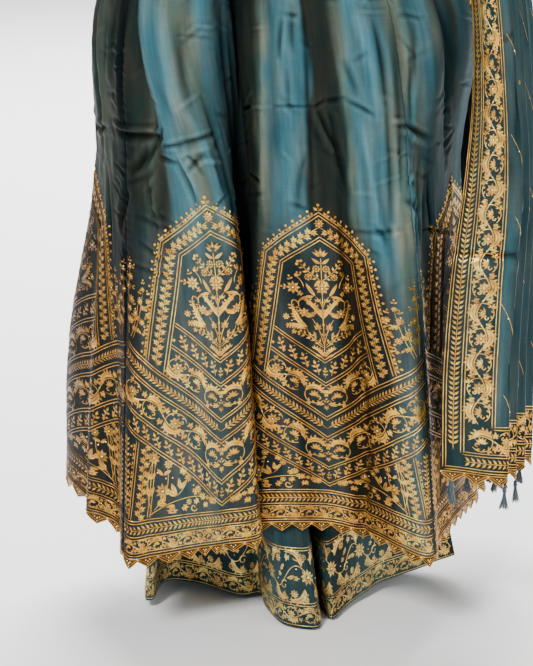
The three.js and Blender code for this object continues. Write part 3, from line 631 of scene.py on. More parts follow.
def scroll(radius, heart):
    """A leafy branch that winds round a flower: it comes in thin from lower left, passes under,
    swells up the right side and curls over the top, with a small tendril inside."""
    t = np.linspace(0, 1, 19)
    path = np.stack(polar(radius * (1 - 0.2 * t ** 2), np.radians(215 + 310 * t)), 1)
    low = np.radians([238, 272, 306])
    return motif(ribbon(path[:11], 1.6), acanthus(path[10:], radius * 0.6, 6, side=-1), heart,
                 lay(blade(radius * 0.42, radius * 0.24, 0.15), *polar(radius * 0.97, low),
                     np.degrees(low) + 128),
                 lay(curl(radius * 0.24, 0.7, 2.2, 20), -radius * 0.42, -radius * 0.42),
                 lay(blade(radius * 0.6, radius * 0.32), radius * 0.5, -radius * 0.78, [-30, -75]),
                 lay(blade(radius * 0.55, radius * 0.3), -radius * 0.86, radius * 0.1, [75, 125]))


def running_scroll(path, pitch, radius, petals=8):
    """Scrolls along a path, every other one mirrored, on a stem that is a sine wave, with leaves
    and buds in the corners left between them."""
    path = dense(path, 4.0)
    long = lengths(path)
    count = max(int(round(long[-1] / pitch)), 1)
    pitch = long[-1] / count
    _, middle = steps_of(path)
    swing = radius * 0.5 * np.sin(np.pi * long / pitch)
    parts = [ribbon(path + left_of(middle) * swing[:, None], 1.9)]
    x, y, d = along(path, pitch * 0.9999, start=pitch * 0.5)
    hearts = lay(tulip(radius * 0.60), 0, -0.08 * radius, 80), star(radius * 0.66, petals)
    for first, heart, turn, flip in zip((0, 1), hearts, (0, 180), (1.0, -1.0)):
        if len(x) > first:
            parts.append(lay(scroll(radius, heart), x[first::2], y[first::2], d[first::2] + turn,
                             1.0, flip))
    x, y, d = (v[1:-1] for v in along(path, pitch * 0.9999))
    if len(x):
        up = np.radians(d + 90)
        parts += [lay(ivy(radius * 0.72, radius * 0.8), x + way * np.cos(up) * radius * 0.42,
                      y + way * np.sin(up) * radius * 0.42, d + 90 * way) for way in (1, -1)]
        parts.append(lay(sequin(), x, y))
    return motif(*parts)


# ---------------------------------------------------------------- skirt of the kurta
# A place on the skirt is (gore, drop): `gore` runs round the hem, 0 at the middle of the front
# gore and 1 more for each gore to the wearer's left; `drop` is 0 at the waist, 1 at the hem.
WAIST_Z, HEM_Z, GORES = -335, -1290, 8
WAIST_WIDE, WAIST_DEEP = 172, 118
GORE_WAIST, GORE_HEM, MEAN_GORE = 222, 348, 300
SKIRT_LONG = WAIST_Z - HEM_Z
CLOTH, SEAM_GAP = 1.2, 0.4
YOKE = np.array([
    (-2, -257, 28), (-1.75, -246, -34), (-1.58, -221, -72), (-1.5, -211, -86),
    (-1.31, -168, -98), (-1.13, -193, -127), (-0.94, -156, -160), (-0.72, -101, -152),
    (-0.6, -77, -133), (-0.5, -67, -108), (-0.41, -56, -126), (-0.275, -32, -150),
    (-0.16, -8, -165), (0, 31, -173), (0.09, 50, -164), (0.28, 95, -151),
    (0.39, 118, -163), (0.56, 156, -141), (0.65, 174, -150), (0.8, 203, -127),
    (0.9, 202, -101), (1, 225, -94), (1.1, 246, -78), (1.22, 258, -36)])
KNEE = np.array([
    (-2, -271, 22), (-1.75, -251, -46), (-1.5, -217, -108), (-1.29, -172, -150),
    (-1.1, -128, -182), (-1, -103, -193), (-0.91, -78, -187), (-0.75, -66, -146),
    (-0.62, -67, -108), (-0.57, -61, -95), (-0.52, -49, -98), (-0.43, -42, -126),
    (-0.31, -31, -161), (-0.2, -8, -180), (0, 50, -196), (0.17, 96, -179),
    (0.31, 134, -186), (0.43, 166, -173), (0.51, 184, -156), (0.61, 191, -128),
    (0.73, 215, -103), (1, 248, -40), (1.22, 264, 22)])
HEM = np.array([
    (-2, -326, 19, 50), (-1.92, -314, -18, 50), (-1.85, -296, -50, 46), (-1.8, -282, -74, 40),
    (-1.76, -287, -98, 35), (-1.69, -262, -124, 35), (-1.61, -236, -140, 26),
    (-1.51, -228, -190, 5), (-1.46, -218, -209, 0), (-1.36, -186, -199, 0), (-1.18, -124, -167, 0),
    (-1, -83, -150, 0), (-0.84, -30, -145, 8), (-0.805, -27, -136, 10), (-0.7, -64, -138, 12),
    (-0.575, -106, -141, 14), (-0.545, -113, -133, 15), (-0.515, -106, -125, 16),
    (-0.38, -58, -120, 20), (-0.26, -16, -118, 22), (-0.16, 20, -124, 25), (0, 75, -129, 25),
    (0.17, 133, -151, 17), (0.33, 176, -182, 6), (0.45, 212, -204, 0), (0.5, 222, -199, 2),
    (0.6, 230, -162, 12), (0.73, 250, -120, 22), (1, 284, -42, 26), (1.2, 304, 12, 24)])
# Folds of the sides and back: gore, bearing from the front in degrees, rise out of the oval.
BACK_FOLDS = np.array([
    (1.32, 100, -26), (1.49, 106, 12), (1.72, 116, -48), (1.96, 127, 12), (2.32, 138, -88),
    (2.67, 149, 14), (3.06, 160, -90), (3.43, 171, 8), (3.81, 182, -94), (4.2, 193, 12),
    (4.57, 204, -90), (4.95, 215, 10), (5.3, 228, -84), (5.68, 244, 4)])
BACK_LIFT = 18


def section(front, wide, deep, fullness):
    """All rows of one section: the front's own, then the back folds on the section's oval."""
    gore, bearing, rise = BACK_FOLDS.T
    a = np.radians(bearing)
    back = [gore, (wide + rise * fullness) * np.sin(a), -(deep + rise * fullness) * np.cos(a)]
    if front.shape[1] == 4:
        back.append(np.full(len(gore), BACK_LIFT))
    return np.vstack([front, np.stack(back, 1)])


YOKE_ROWS = section(YOKE, 258, 172, 0.55)
KNEE_ROWS = section(KNEE, 272, 198, 0.75)
HEM_ROWS = section(HEM, 322, 250, 1.0)
SECTION_DROPS = np.array([0, 0.173, 0.466, 1])


def skirt(gore, drop):
    """Each section is the smooth closed curve through its folds, the waist a plain oval; down the
    skirt a point follows the smooth curve through the four sections, and falls evenly."""
    a = np.radians(gore * 360 / GORES)
    waist = np.stack([WAIST_WIDE * np.sin(a), -WAIST_DEEP * np.cos(a)], -1)
    level = np.stack([waist] + [through(rows[:, 0], rows[:, 1:3], gore, GORES)
                                for rows in (YOKE_ROWS, KNEE_ROWS, HEM_ROWS)])
    i = np.clip(np.searchsorted(SECTION_DROPS, drop, side="right") - 1, 0, 2)
    h = np.diff(SECTION_DROPS)[i][..., None]
    t = (drop - SECTION_DROPS[i])[..., None] / h
    xy = cubic(*(np.take_along_axis(rows, (i + k)[None, ..., None], 0)[0]
                 for rows in (level, slopes(SECTION_DROPS, level)) for k in (0, 1)), h, t)
    lift = through(HEM_ROWS[:, 0], HEM_ROWS[:, 3], gore, GORES)
    # The wearer's right side swings out a little between knee and hem.
    place = np.where(gore > GORES / 2, gore - GORES, gore)
    bell = 18 * bump((place + 2.08) / 0.5) * bump((drop - 0.75) / 0.28)
    z = mix(WAIST_Z, HEM_Z + lift, drop)
    return np.concatenate([(xy[..., 0] - bell)[..., None], xy[..., 1:], z[..., None]], -1)


def gore_width(drop):
    return mix(GORE_WAIST, GORE_HEM, drop)


# Creases pressed in by folding and packing: gore and mm below the waist at both ends, width and
# depth in mm; a negative depth is a sharp little ridge.
CREASES = np.array([
    (-1.92, 383, -1.7, 372, 5, 2.6), (-1.62, 358, -1.18, 345, 4, -2.8),
    (-1.58, 366, -1.16, 352, 6, 2.6), (-1.22, 366, -1.04, 364, 3, 2.2),
    (-1.1, 362, -0.82, 350, 4, 3), (-1.08, 376, -0.9, 366, 4, -2.4),
    (-1.06, 398, -0.94, 376, 4, 2.8), (-1.45, 412, -1.28, 352, 7, 3.4),
    (-1.5, 440, -1.54, 500, 7, 2.6), (-1.4, 404, -1.32, 358, 4, -2),
    (-1.36, 418, -1.29, 488, 4, 2.4), (-1.1, 384, -1.06, 446, 5, 2.6),
    (-1.04, 372, -0.98, 400, 4, 2.2), (-0.98, 384, -0.84, 390, 4, -1.8),
    (-0.9, 372, -0.88, 430, 5, 1.6), (-1.12, 340, -1.3, 372, 4, 2.2),
    (-1.26, 380, -1.1, 390, 4, 2.2), (-0.84, 300, -0.82, 470, 6, 2.2),
    (-0.14, 190, -0.15, 250, 3.5, 2), (0.2, 250, 0.22, 300, 5, 1.8), (0.1, 320, 0.16, 440, 5, 2.4),
    (0.26, 330, 0.29, 470, 6, -1.8), (-1.33, 436, -1.26, 500, 5, -1.8),
    (-1.42, 470, -1.2, 484, 4, 1.6), (-1.4, 506, -1.24, 528, 4, 2), (-1.46, 540, -1.2, 548, 4, 1.5),
    (-1.52, 520, -1.5, 590, 5, 1.8), (-1.72, 430, -1.66, 560, 6, 2.2),
    (-1.8, 200, -1.78, 420, 7, 1.8), (-1.66, 190, -1.64, 300, 6, -1.8),
    (-1.52, 175, -1.5, 340, 6, 2.4), (-0.5, 330, -0.36, 322, 3, 2.6), (-0.2, 318, -0.01, 313, 3, 2),
    (-0.36, 322, -0.2, 318, 3, -1.2), (-0.01, 316, 0.06, 305, 3, 2.4),
    (0.06, 305, 0.18, 303, 4, 2.2), (0.18, 303, 0.32, 326, 4, 2.4), (0, 322, 0.09, 378, 4, -3),
    (0.03, 318, 0.12, 374, 4, 2.2), (0.41, 331, 0.5, 334, 4, -2), (0.48, 338, 0.71, 370, 5, 3),
    (0.46, 346, 0.7, 380, 5, -1.6), (0.54, 192, 0.7, 194, 4, 1.8), (0.1, 492, 0.44, 482, 4, 1.6),
    (0.62, 500, 0.96, 526, 3, 2.6), (0.28, 478, 0.34, 500, 6, 2.4), (0.34, 476, 0.37, 496, 5, 2),
    (0.44, 440, 0.6, 470, 6, 1.8), (-0.08, 178, -0.08, 240, 5, 2), (-0.13, 264, -0.1, 322, 4, 1.6),
    (-0.06, 380, -0.09, 470, 6, 1.8), (-0.02, 170, -0.02, 460, 4, 2.4),
    (0.36, 176, 0.39, 306, 6, 2.4), (0.39, 306, 0.38, 470, 6, 2.2), (0.3, 190, 0.33, 330, 8, -2),
    (0.48, 180, 0.46, 430, 8, 1.8), (0.6, 200, 0.56, 330, 7, 1.8), (-0.62, 175, -0.64, 392, 5, 2.6),
    (-0.56, 175, -0.55, 330, 5, -2), (-0.7, 356, -0.6, 444, 5, 2.6),
    (-0.88, 172, -0.92, 320, 10, 1.6), (-0.98, 176, -1, 340, 10, -1.6),
    (0.58, 386, 0.52, 520, 4, 2), (0.66, 400, 0.6, 540, 5, -2), (0.7, 420, 0.72, 540, 5, 2.2),
    (0.86, 180, 0.9, 420, 9, 2), (-2.1, 300, -2.02, 330, 5, 2), (-0.46, 420, -0.3, 428, 4, 2.2),
    (-0.5, 470, -0.4, 500, 5, 2), (-0.26, 180, -0.28, 470, 9, -1.5), (1.3, 310, 1.66, 330, 5, 2.4),
    (1.9, 360, 2.2, 340, 5, 2.4), (2.9, 330, 3.3, 350, 5, 2.6), (3.6, 380, 4.05, 362, 5, 2.4),
    (4.4, 340, 4.76, 352, 5, 2.6), (5.1, 372, 5.5, 350, 5, 2.4), (2.5, 200, 2.56, 420, 8, 2),
    (3.4, 180, 3.38, 460, 8, -2), (4.1, 200, 4.14, 430, 8, 2), (4.9, 180, 4.86, 440, 8, -2),
    (5.6, 190, 5.66, 430, 8, 2)])


def chance_creases(count, seed):
    """More creases of the same kinds, small and scattered, from seeded random numbers: mostly
    level or slanting ones in the unembroidered upper part, and finer ones below."""
    r = np.random.default_rng(seed)
    gore, down = r.uniform(-4, 4, count), r.uniform(120, 640, count)
    tilt, long = r.normal(0, 0.7, count), r.uniform(12, 55, count)
    fine = np.where(down > 520, 0.55, 1.0)
    depth = r.uniform(0.5, 1.5, count) * np.where(r.uniform(size=count) < 0.35, -1, 1) * fine
    return np.stack([gore, down, gore + long * np.cos(tilt) / 250, down + long * np.sin(tilt),
                     r.uniform(2.5, 5, count), depth], 1)


ALL_CREASES = np.vstack([CREASES, chance_creases(420, 3)])


def crease_relief(gore, drop):
    """Sum over the creases that come near: depth times a bell across the crease, which fades to
    nothing at both ends along it. A faint ridge goes along each side of a trough."""
    down, wide = drop * SKIRT_LONG, gore_width(drop)
    low, high = ALL_CREASES[:, [0, 2]].min(1), ALL_CREASES[:, [0, 2]].max(1)
    total = np.zeros_like(gore)
    for turn in (-GORES, 0, GORES):
        near = (high + turn > gore.min() - 0.1) & (low + turn < gore.max() + 0.1)
        for g0, t0, g1, t1, width, depth in ALL_CREASES[near]:
            x, y = (gore - g0 - turn) * wide, down - t0
            dx, dy = (g1 - g0) * gore_width((t0 + t1) / 2 / SKIRT_LONG), t1 - t0
            long = np.hypot(dx, dy)
            s = np.clip((x * dx + y * dy) / long ** 2, 0, 1)
            far = np.hypot(x - s * dx, y - s * dy) / width
            bow = (x * dy - y * dx) / long / width + 0.5 * np.sin(3 * s + g0 * 9)
            across = np.where((s > 0) & (s < 1), np.abs(bow), far + 0.3)
            bell = np.exp(-across ** 2 * 1.8) - 0.35 * np.exp(-((across - 1.7) ** 2) * 2)
            total -= depth * bell * np.sin(np.pi * np.clip(s, 0.04, 0.96)) ** 0.6 * (far < 3.2)
    return total


def skirt_relief(gore, drop):
    """Gathers at the waist seam, the pucker of each gore seam, pressed creases, and soft crumple
    that is livelier in the bare silk than under the stiff embroidery."""
    down, wide = drop * SKIRT_LONG, gore_width(drop)
    seam = np.abs(gore - np.round(gore - 0.5) - 0.5) * wide
    gathers = (2.2 * np.sin(2 * np.pi * gore * 15 + 1.4 * np.sin(5 * gore))
               * (1 - smooth(down / 120)) * smooth(down / 6))
    ripple = np.sin(2 * np.pi * down / 13 + 3 * np.sin(down / 41))
    pucker = -0.9 * np.exp(-(seam / 1.6) ** 2) + 0.5 * ripple * np.exp(-(seam / 9) ** 2)
    bare = mix(1.0, 0.35, smooth((down - 430) / 140))
    noise = lambda across, along, seed: crumple(gore * 250, down, across, along, seed)
    flow = noise(26, 150, 11) * 1.7 + noise(11, 60, 12) * 0.6
    crush = noise(17, 21, 13) * 0.8 + noise(7, 8, 14) * 0.22
    # One sharp fold runs down the front through the embroidery.
    away = (gore - 0.15) * wide + 6 * np.sin(down / 70)
    tuck = -7 * np.exp(-(away / 8) ** 2) * smooth((down - 420) / 90)
    pressed = 1.9 * crease_relief(gore, drop) * mix(1.0, 0.6, smooth((down - 540) / 100))
    return gathers + pucker + tuck + pressed + (flow * smooth(down / 90) + crush) * bare


# Painted light and shade of the shot silk round the skirt: teals and greys where its folds catch or
# lose the light, and painted shadow, black and brown, in the valleys and shaded bands. The upper
# table has each colour's place at the yoke and at the knee, the lower table its place at the foot.
BRIGHT, TEAL, MUTED, DEEP = (srgb(c) for c in ("3a5e66", "304c51", "263c40", "142225"))
PALE, GREEN, GREY, DARK = (srgb(c) for c in ("47554d", "394139", "2b342d", "1b211d"))
BROWN_SHADOW, BLACK_SHADE = srgb("1f190b"), srgb("0c1110")
UPPER_SHOT_LIGHT_AND_SHADE = [
    (-2.05, -2.05, DARK), (-1.86, -1.88, DARK), (-1.72, -1.72, GREY), (-1.62, -1.6, DARK),
    (-1.54, -1.52, BLACK_SHADE), (-1.44, -1.42, DARK), (-1.3, -1.33, GREY), (-1.14, -1.24, DARK),
    (-1.09, -1.12, BRIGHT), (-1, -1.06, BRIGHT), (-0.92, -1.01, PALE), (-0.84, -0.98, PALE),
    (-0.78, -0.95, BRIGHT), (-0.73, -0.92, TEAL), (-0.67, -0.86, DEEP), (-0.6, -0.76, MUTED),
    (-0.5, -0.6, BLACK_SHADE), (-0.41, -0.5, DARK), (-0.32, -0.36, DARK), (-0.25, -0.27, PALE),
    (-0.19, -0.21, TEAL), (-0.1, -0.12, BRIGHT), (-0.035, -0.045, TEAL), (-0.012, -0.012, DARK),
    (0.05, 0.08, DARK), (0.14, 0.15, DARK), (0.19, 0.19, PALE), (0.24, 0.23, BRIGHT),
    (0.34, 0.3, BRIGHT), (0.42, 0.36, TEAL), (0.5, 0.42, PALE), (0.56, 0.47, PALE),
    (0.62, 0.52, TEAL), (0.7, 0.57, BRIGHT), (0.76, 0.62, PALE), (0.82, 0.7, MUTED),
    (0.88, 0.8, TEAL), (0.96, 0.9, MUTED), (1.01, 0.97, GREY), (1.06, 1.02, TEAL),
    (1.15, 1.12, TEAL), (1.22, 1.2, MUTED)]
LOWER_SHOT_LIGHT_AND_SHADE = [
    (-2.1, BLACK_SHADE), (-1.9, BLACK_SHADE), (-1.74, DARK), (-1.64, DEEP), (-1.53, BLACK_SHADE),
    (-1.46, DEEP), (-1.36, MUTED), (-1.2, TEAL), (-1.05, TEAL), (-0.94, MUTED),
    (-0.84, DEEP), (-0.7, BLACK_SHADE), (-0.5, BLACK_SHADE), (-0.38, DEEP), (-0.25, MUTED),
    (-0.12, DEEP), (0.02, MUTED), (0.1, BROWN_SHADOW), (0.2, BROWN_SHADOW), (0.28, DEEP),
    (0.36, TEAL), (0.43, BRIGHT), (0.49, MUTED), (0.56, DEEP), (0.7, DEEP), (0.8, BLACK_SHADE),
    (1, DEEP), (1.22, MUTED)]


def back_fold_light_and_shade():
    """The sides and back: a painted highlight on each fold's ridge and painted shade in each
    valley.
    """
    ridges = [BRIGHT, PALE, TEAL, BRIGHT, GREEN]
    rows = []
    for k, (gore, _, rise) in enumerate(BACK_FOLDS):
        if rise > 0:
            pale = ridges[k // 2 % 5]
            rows += [(gore - 0.11, MUTED), (gore - 0.04, pale), (gore + 0.06, pale),
                     (gore + 0.13, GREY)]
        else:
            rows.append((gore, DARK if k % 4 else BLACK_SHADE))
    return rows


def shaded(rows, at):
    """Colour at places among (place, colour) rows, blended softly between neighbours."""
    places = np.array([p for p, _ in rows])
    colours = np.array([c for _, c in rows])
    at = np.mod(at - places[0], GORES) + places[0]
    places, colours = np.r_[places, places[0] + GORES], np.vstack([colours, colours[:1]])
    i = np.clip(np.searchsorted(places, at, side="right") - 1, 0, len(places) - 2)
    t = smooth((at - places[i]) / (places[i + 1] - places[i]))[..., None]
    return mix(colours[i], colours[i + 1], t)


def skirt_colour_and_painted_light(gore, drop):
    """Blend of the shot colours, with their painted light and shade, for the yoke, knee and foot,
    wavering a little down the cloth.
    """
    down = drop * SKIRT_LONG
    noise = lambda across, along, seed: crumple(gore * 250, down, across, along, seed)
    waver = gore + 0.022 * noise(40, 90, 21) + 0.012 * noise(14, 70, 22) + 0.007 * noise(5, 26, 23)
    back = back_fold_light_and_shade()
    yoke = shaded([(a, c) for a, _, c in UPPER_SHOT_LIGHT_AND_SHADE] + back, waver)
    knee = shaded([(b, c) for _, b, c in UPPER_SHOT_LIGHT_AND_SHADE] + back, waver)
    # The painted valley shade left of the front gore leans to the right on its way down.
    lean = 0.2 * smooth((down - 560) / 330) * bump((gore + 0.5) / 0.5)
    foot = shaded(LOWER_SHOT_LIGHT_AND_SHADE + [(g, mix(c, MUTED, 0.35)) for g, c in back], waver - lean)
    upper = mix(yoke, knee, smooth((down - 180) / 250)[..., None])
    foot = mix(foot, foot.mean(-1, keepdims=True) * np.array([1.02, 0.96, 0.78]), 0.45) * 0.85
    # The upper colours reach further down on the bright fold right of the front arch, and a painted
    # highlight brightens that fold.
    reach = 440 + 130 * bump((gore - 0.5) / 0.3)
    lit = 1 + 0.7 * bump((gore - 0.48) / 0.26) * bump((down - 510) / 170)
    return mix(upper, foot, smooth((down - reach) / 110)[..., None]) * lit[..., None]


# ---------------------------------------------------------------- the gore's embroidery
# The pattern of one gore lies flat: x from the gore's middle line, y up, minus the mm below the
# waist. Its slanting lines are drawn by their tip and fall at one slope from the seams.
SLOPE = 0.74
ARCH_TIP, ARCH_INNER_TIP, ARCH_SHOULDER, ARCH_SPREAD = 456, 492, 78, 0.2
ARCH_BORDER = 29
TIP_SPRIGS, TIP_SCROLLS, TIP_EAR, TIP_HEARTS, TIP_LAST, TIP_FIELD = 679, 716, 771, 804, 861, 892
HEM_TOP, HEM_MIDDLE, HEM_FOOT = 904, 927, 950
SHOULDER_DOWN = ARCH_TIP + SLOPE * ARCH_SHOULDER


def arch_side(down, border=0.0):
    """Half width of the arch's side line at a place down the gore."""
    return ARCH_SHOULDER - border + ARCH_SPREAD * (down - SHOULDER_DOWN)


def half_gore(down):
    return gore_width(down / SKIRT_LONG) / 2


def meets(tip, border):
    """Where a slanting line with this tip meets the arch's side: (x, down)."""
    x = (ARCH_SHOULDER - border + ARCH_SPREAD * (tip - SHOULDER_DOWN)) / (1 + ARCH_SPREAD * SLOPE)
    return x, tip - SLOPE * x


def seam_meets(tip, clear=2.0):
    """Where a slanting line with this tip meets the gore's seam: (x, down)."""
    spread = (GORE_HEM - GORE_WAIST) / 2 / SKIRT_LONG
    x = (GORE_WAIST / 2 - clear + spread * tip) / (1 + spread * SLOPE)
    return x, tip - SLOPE * x


def chevron(tip, ends):
    """A V from one end over the tip to the other."""
    x, down = ends
    return np.array([(-x, -down), (0, -tip), (x, -down)], float)


def arch_line(tip, border, foot):
    """The arch's line from its foot on one side over the tip to the other foot."""
    shoulder = (ARCH_SHOULDER - border, tip + SLOPE * (ARCH_SHOULDER - border))
    shoulder = (arch_side(shoulder[1], border), shoulder[1])
    half = [(arch_side(foot, border), foot), shoulder]
    line = [(-x, -d) for x, d in half] + [(0, -tip)] + [(x, -d) for x, d in half[::-1]]
    return np.array(line, float)


def at(shape, x, down, turn=0.0, size=1.0):
    """A motif laid at x and mm below the waist."""
    return lay(shape, x, -np.asarray(down, float), turn, size)


def fall(x0, down0, x1, down1, sag, count=8):
    """A curved path between two places given in mm below the waist."""
    return arc(x0, -down0, x1, -down1, sag, count)


def bouquet():
    """The flowering plant in the arch, its right half mirrored: a lotus on a stem, rosettes and
    twigs with buds, a large flower between outlined leaves, two pairs of serrated leaves that
    curl over, and tulips, twigs and a sheaf of leaves at the foot."""
    lotus = motif(at(blade(17, 6), 0, 519, 90), at(blade(16, 5.5, -0.15), 0, 519, [64, 40]),
                  at(blade(16, 5.5, 0.15), 0, 519, [116, 140]), at(blade(9, 4), 0, 518, [12, 168]),
                  at(sequin(), 0, 512))
    fleur = lay(blade(8.5, 3.8), 0, 0, [-36, 0, 36])
    half = [
        at(leaf(14.5, 5.8, 0.3), 0.5, 529, 18), at(rosette(5.9), 6.8, 537),
        at(rosette(5.9), 17.6, 549.5), at(trefoil(1.1), 27, 546, 30),
        twig(fall(0.5, 555, 27, 530, -1.5), 7.6, 9.5, 4.6, 3.0),
        at(leaf(13.5, 6.2, -0.3), 0.5, 555, -26), at(dot(3.5, 1.6), 33, 547),
        ribbon(fall(33, 549, 24, 566, -2), 1.5), at(star(11.0, 8), 38, 566),
        at(trefoil(1.2), 48, 566, 10), at(trefoil(1.1), 41, 554, 70),
        at(leaf(25, 6.2, 0.12), 9, 579, 52), at(leaf(21, 5.2, -0.22), 10.5, 579, 0),
        ribbon(fall(9.5, 579, 1, 596, -2, 5), 1.5), at(fleur, 6, 588, 84),
        acanthus(np.vstack([fall(1.5, 611, 15, 591, 1.5, 7), fall(15, 591, 25.5, 583, 2, 4)[1:]]),
                 7.4, 6), ribbon(fall(25, 583.5, 31.5, 593, 3.5, 7), 2.4),
        at(dot(1.7), 31.5, 593.5),
        acanthus(np.vstack([fall(22, 626, 36, 607, -2.5, 7), fall(36, 607, 41, 590, -1, 5)[1:]]),
                 8.2, 7, side=-1), ribbon(fall(41, 591, 33.5, 587, -4, 7), 2.3),
        at(dot(1.6), 33.5, 587.5), acanthus(fall(24, 629, 51, 624, 2.5, 8), 7.6, 6, side=-1),
        at(star(6, 7), 49.5, 611), at(ivy(9, 9), 38, 632, -50), at(ivy(9.5, 9), 27, 573, -40),
        at(ivy(8, 8), 17, 590, 30), at(blade(10, 4.2), 8, 606, [20, 62]),
        at(blade(10, 4.2), 10, 640, [16, 60]), at(curl(4.2, 0.9, 2.4, 40), 33, 600),
        at(star(8.4, 7), 25, 604), at(tulip(7.6), 16.5, 609, 72),
        ribbon(fall(15, 613, 1, 650, -2, 8), 1.4), at(ivy(12.5, 12), 7.5, 629, 82),
        ribbon(fall(7.5, 629, 1, 652, -1, 5), 1.3),
        twig(fall(1.5, 655, 30, 636, 2.5), 7.5, 9, 4.2, 2.4),
        ribbon(fall(1, 658, 23, 627, -3.5), 1.5), acanthus(fall(1.2, 671, 17, 657, 2.5, 7), 5.6, 5),
        at(leaf(13, 4.0, 0.2), 2.4, 673, 18), at(blade(8, 3.8), 0.5, 604, 58),
        at(blade(7, 3.4), 0.5, 640, 64), at(sequin(), [31, 20, 42], [618, 644, 617])]
    stem = motif(at(star(11, 8), 0, 566.5), at(blade(13, 3.4), 0, 673, 90),
                 at(blade(9, 4.4), 0, 626, 90), at(blade(9, 4.4), 0, 591, 90), at(dot(1.9), 0, 612),
                 ribbon(dense([(0, -672), (0, -520)]), 1.4))
    return motif(lotus, stem, mirrored(motif(*half)))


def seam_bouquet():
    """Flowers beside the seam above the slanting band, right half only: a tall stem by the seam
    and lower ones that lean to the arch."""
    x = lambda away, down: half_gore(down) - away
    put = lambda shape, away, down, turn: at(shape, x(away, down), down, turn)
    parts = [ribbon(fall(x(9, 650), 650, x(9, 560), 560, -1.5, 12), 1.5),
             ribbon(fall(x(18, 654), 654, x(36, 588), 588, 3, 10), 1.3),
             ribbon(fall(x(14, 652), 652, x(27, 606), 606, 2, 8), 1.2)]
    for away, down, radius, petals in ((9, 556, 4.2, 6), (11, 569, 6.2, 8), (7, 583, 6.6, 8),
                                       (13, 600, 7.6, 8), (36, 584, 4.6, 7), (46, 600, 5.8, 8),
                                       (31, 601, 6.2, 8), (22, 618, 6.2, 7), (45, 620, 5.4, 7),
                                       (35, 630, 6.0, 8), (27, 642, 4.6, 7)):
        parts.append(put(star(radius, petals), away, down, away * 7))
    for away, down, turn in ((9, 548, 90), (36, 576, 90), (46, 590, 70), (30, 590, 110),
                             (20, 607, 80), (45, 610, 120), (5, 570, 80), (16, 584, 130),
                             (14, 556, 120)):
        parts.append(put(trefoil(), away, down, turn))
    parts += [put(ivy(10, 11), 9, 616, [60, 120]), put(ivy(11, 12), 12, 632, [40, 140, 90]),
              put(curl(5.5, 0.9, 3.0, 60), 17, 626, 0), put(ivy(9, 9), 38, 612, [60, 130]),
              put(ivy(9, 9), 28, 626, [30, 120]), put(curl(4.5, 0.8, 2.6, 200), 42, 642, 0),
              put(ivy(9, 9), 20, 642, [70, 130]), put(blade(9, 4), 34, 648, [60, 150]),
              at(sequin(), [x(9, 556), x(30, 596), x(46, 606), x(22, 612)], [552, 596, 606, 612])]
    return motif(*parts)


def field_spray():
    """The spray in the corner under the last chevron, right half: it grows from the foot of the
    arch border towards the middle, with two large flowers."""
    parts = [ribbon(fall(126, 898, 14, 884, -13, 18), 1.6),
             ribbon(fall(120, 894, 113, 826, -8, 10), 1.5),
             ribbon(fall(117, 890, 94, 836, 8, 9), 1.4), ribbon(fall(84, 874, 66, 848, 3, 7), 1.3)]
    parts += [at(star(radius, petals), x, down)
              for x, down, radius, petals in (
                  (112, 823, 10.5, 9), (92, 832, 7.2, 8), (103, 866, 12.0, 9), (66, 852, 6.6, 8),
                  (50, 868, 7.4, 8), (67, 884, 5.6, 7), (16, 886, 6.4, 8), (31, 880, 4.4, 7),
                  (121, 846, 5.5, 7))]
    parts += [at(leaf(long, long * 0.42, 0.15), x, down, turns)
              for x, down, long, *turns in ((84, 874, 19, 62, 24), (78, 866, 16, 122, 76),
                                            (88, 886, 13, -52, -16), (122, 872, 16, 112, 68),
                                            (112, 884, 15, 172, 130), (100, 846, 13, 142, 40),
                                            (118, 850, 12, 60, 125), (104, 884, 14, 100))]
    parts += [at(ivy(10, 10), x, down, turns)
              for x, down, *turns in ((58, 872, 120, 165), (56, 882, -150, -100),
                                      (42, 878, 150, 30, -150), (24, 885, 160, -160, 90),
                                      (74, 845, 150, 95), (92, 895, 170, 20), (76, 890, -170, -120),
                                      (36, 888, -60, -130))]
    parts += [at(curl(6, 0.9, 2.8, 200), 60, 893),
              at(sequin(), [80, 58, 108, 97, 44, 88], [862, 862, 842, 850, 882, 850])]
    return motif(*parts)


def chevron_scrolls(tip, ends, radius, pitch):
    """A heart of two scrolls under the tip, and scrolls that climb from it to both ends. The
    band's middle line has this tip."""
    first = radius + 1.5
    down = tip - SLOPE * first
    cup = lay(tulip(radius * 0.62), 0.5, -1, 96)
    heart = motif(at(scroll(radius, cup), first, down + 1),
                  at(leaf(radius * 0.95, radius * 0.4, -0.25), 2, down + radius * 1.08, 4))
    path = [(x, -(tip - SLOPE * x)) for x in (first + radius * 0.92, ends[0])]
    band = running_scroll(np.array(path), pitch, radius)
    bud = motif(at(ivy(radius * 0.55, radius * 0.5), 0, tip - SLOPE * radius + 2, 90),
                at(ivy(radius * 0.6, radius * 0.6), 0, tip + radius * 0.5, -90),
                at(sequin(1.3), 0, tip - 4), at(blade(radius * 0.5, 3), 0, tip + 2, [50, 130]))
    return motif(mirrored(motif(heart, band)), bud)


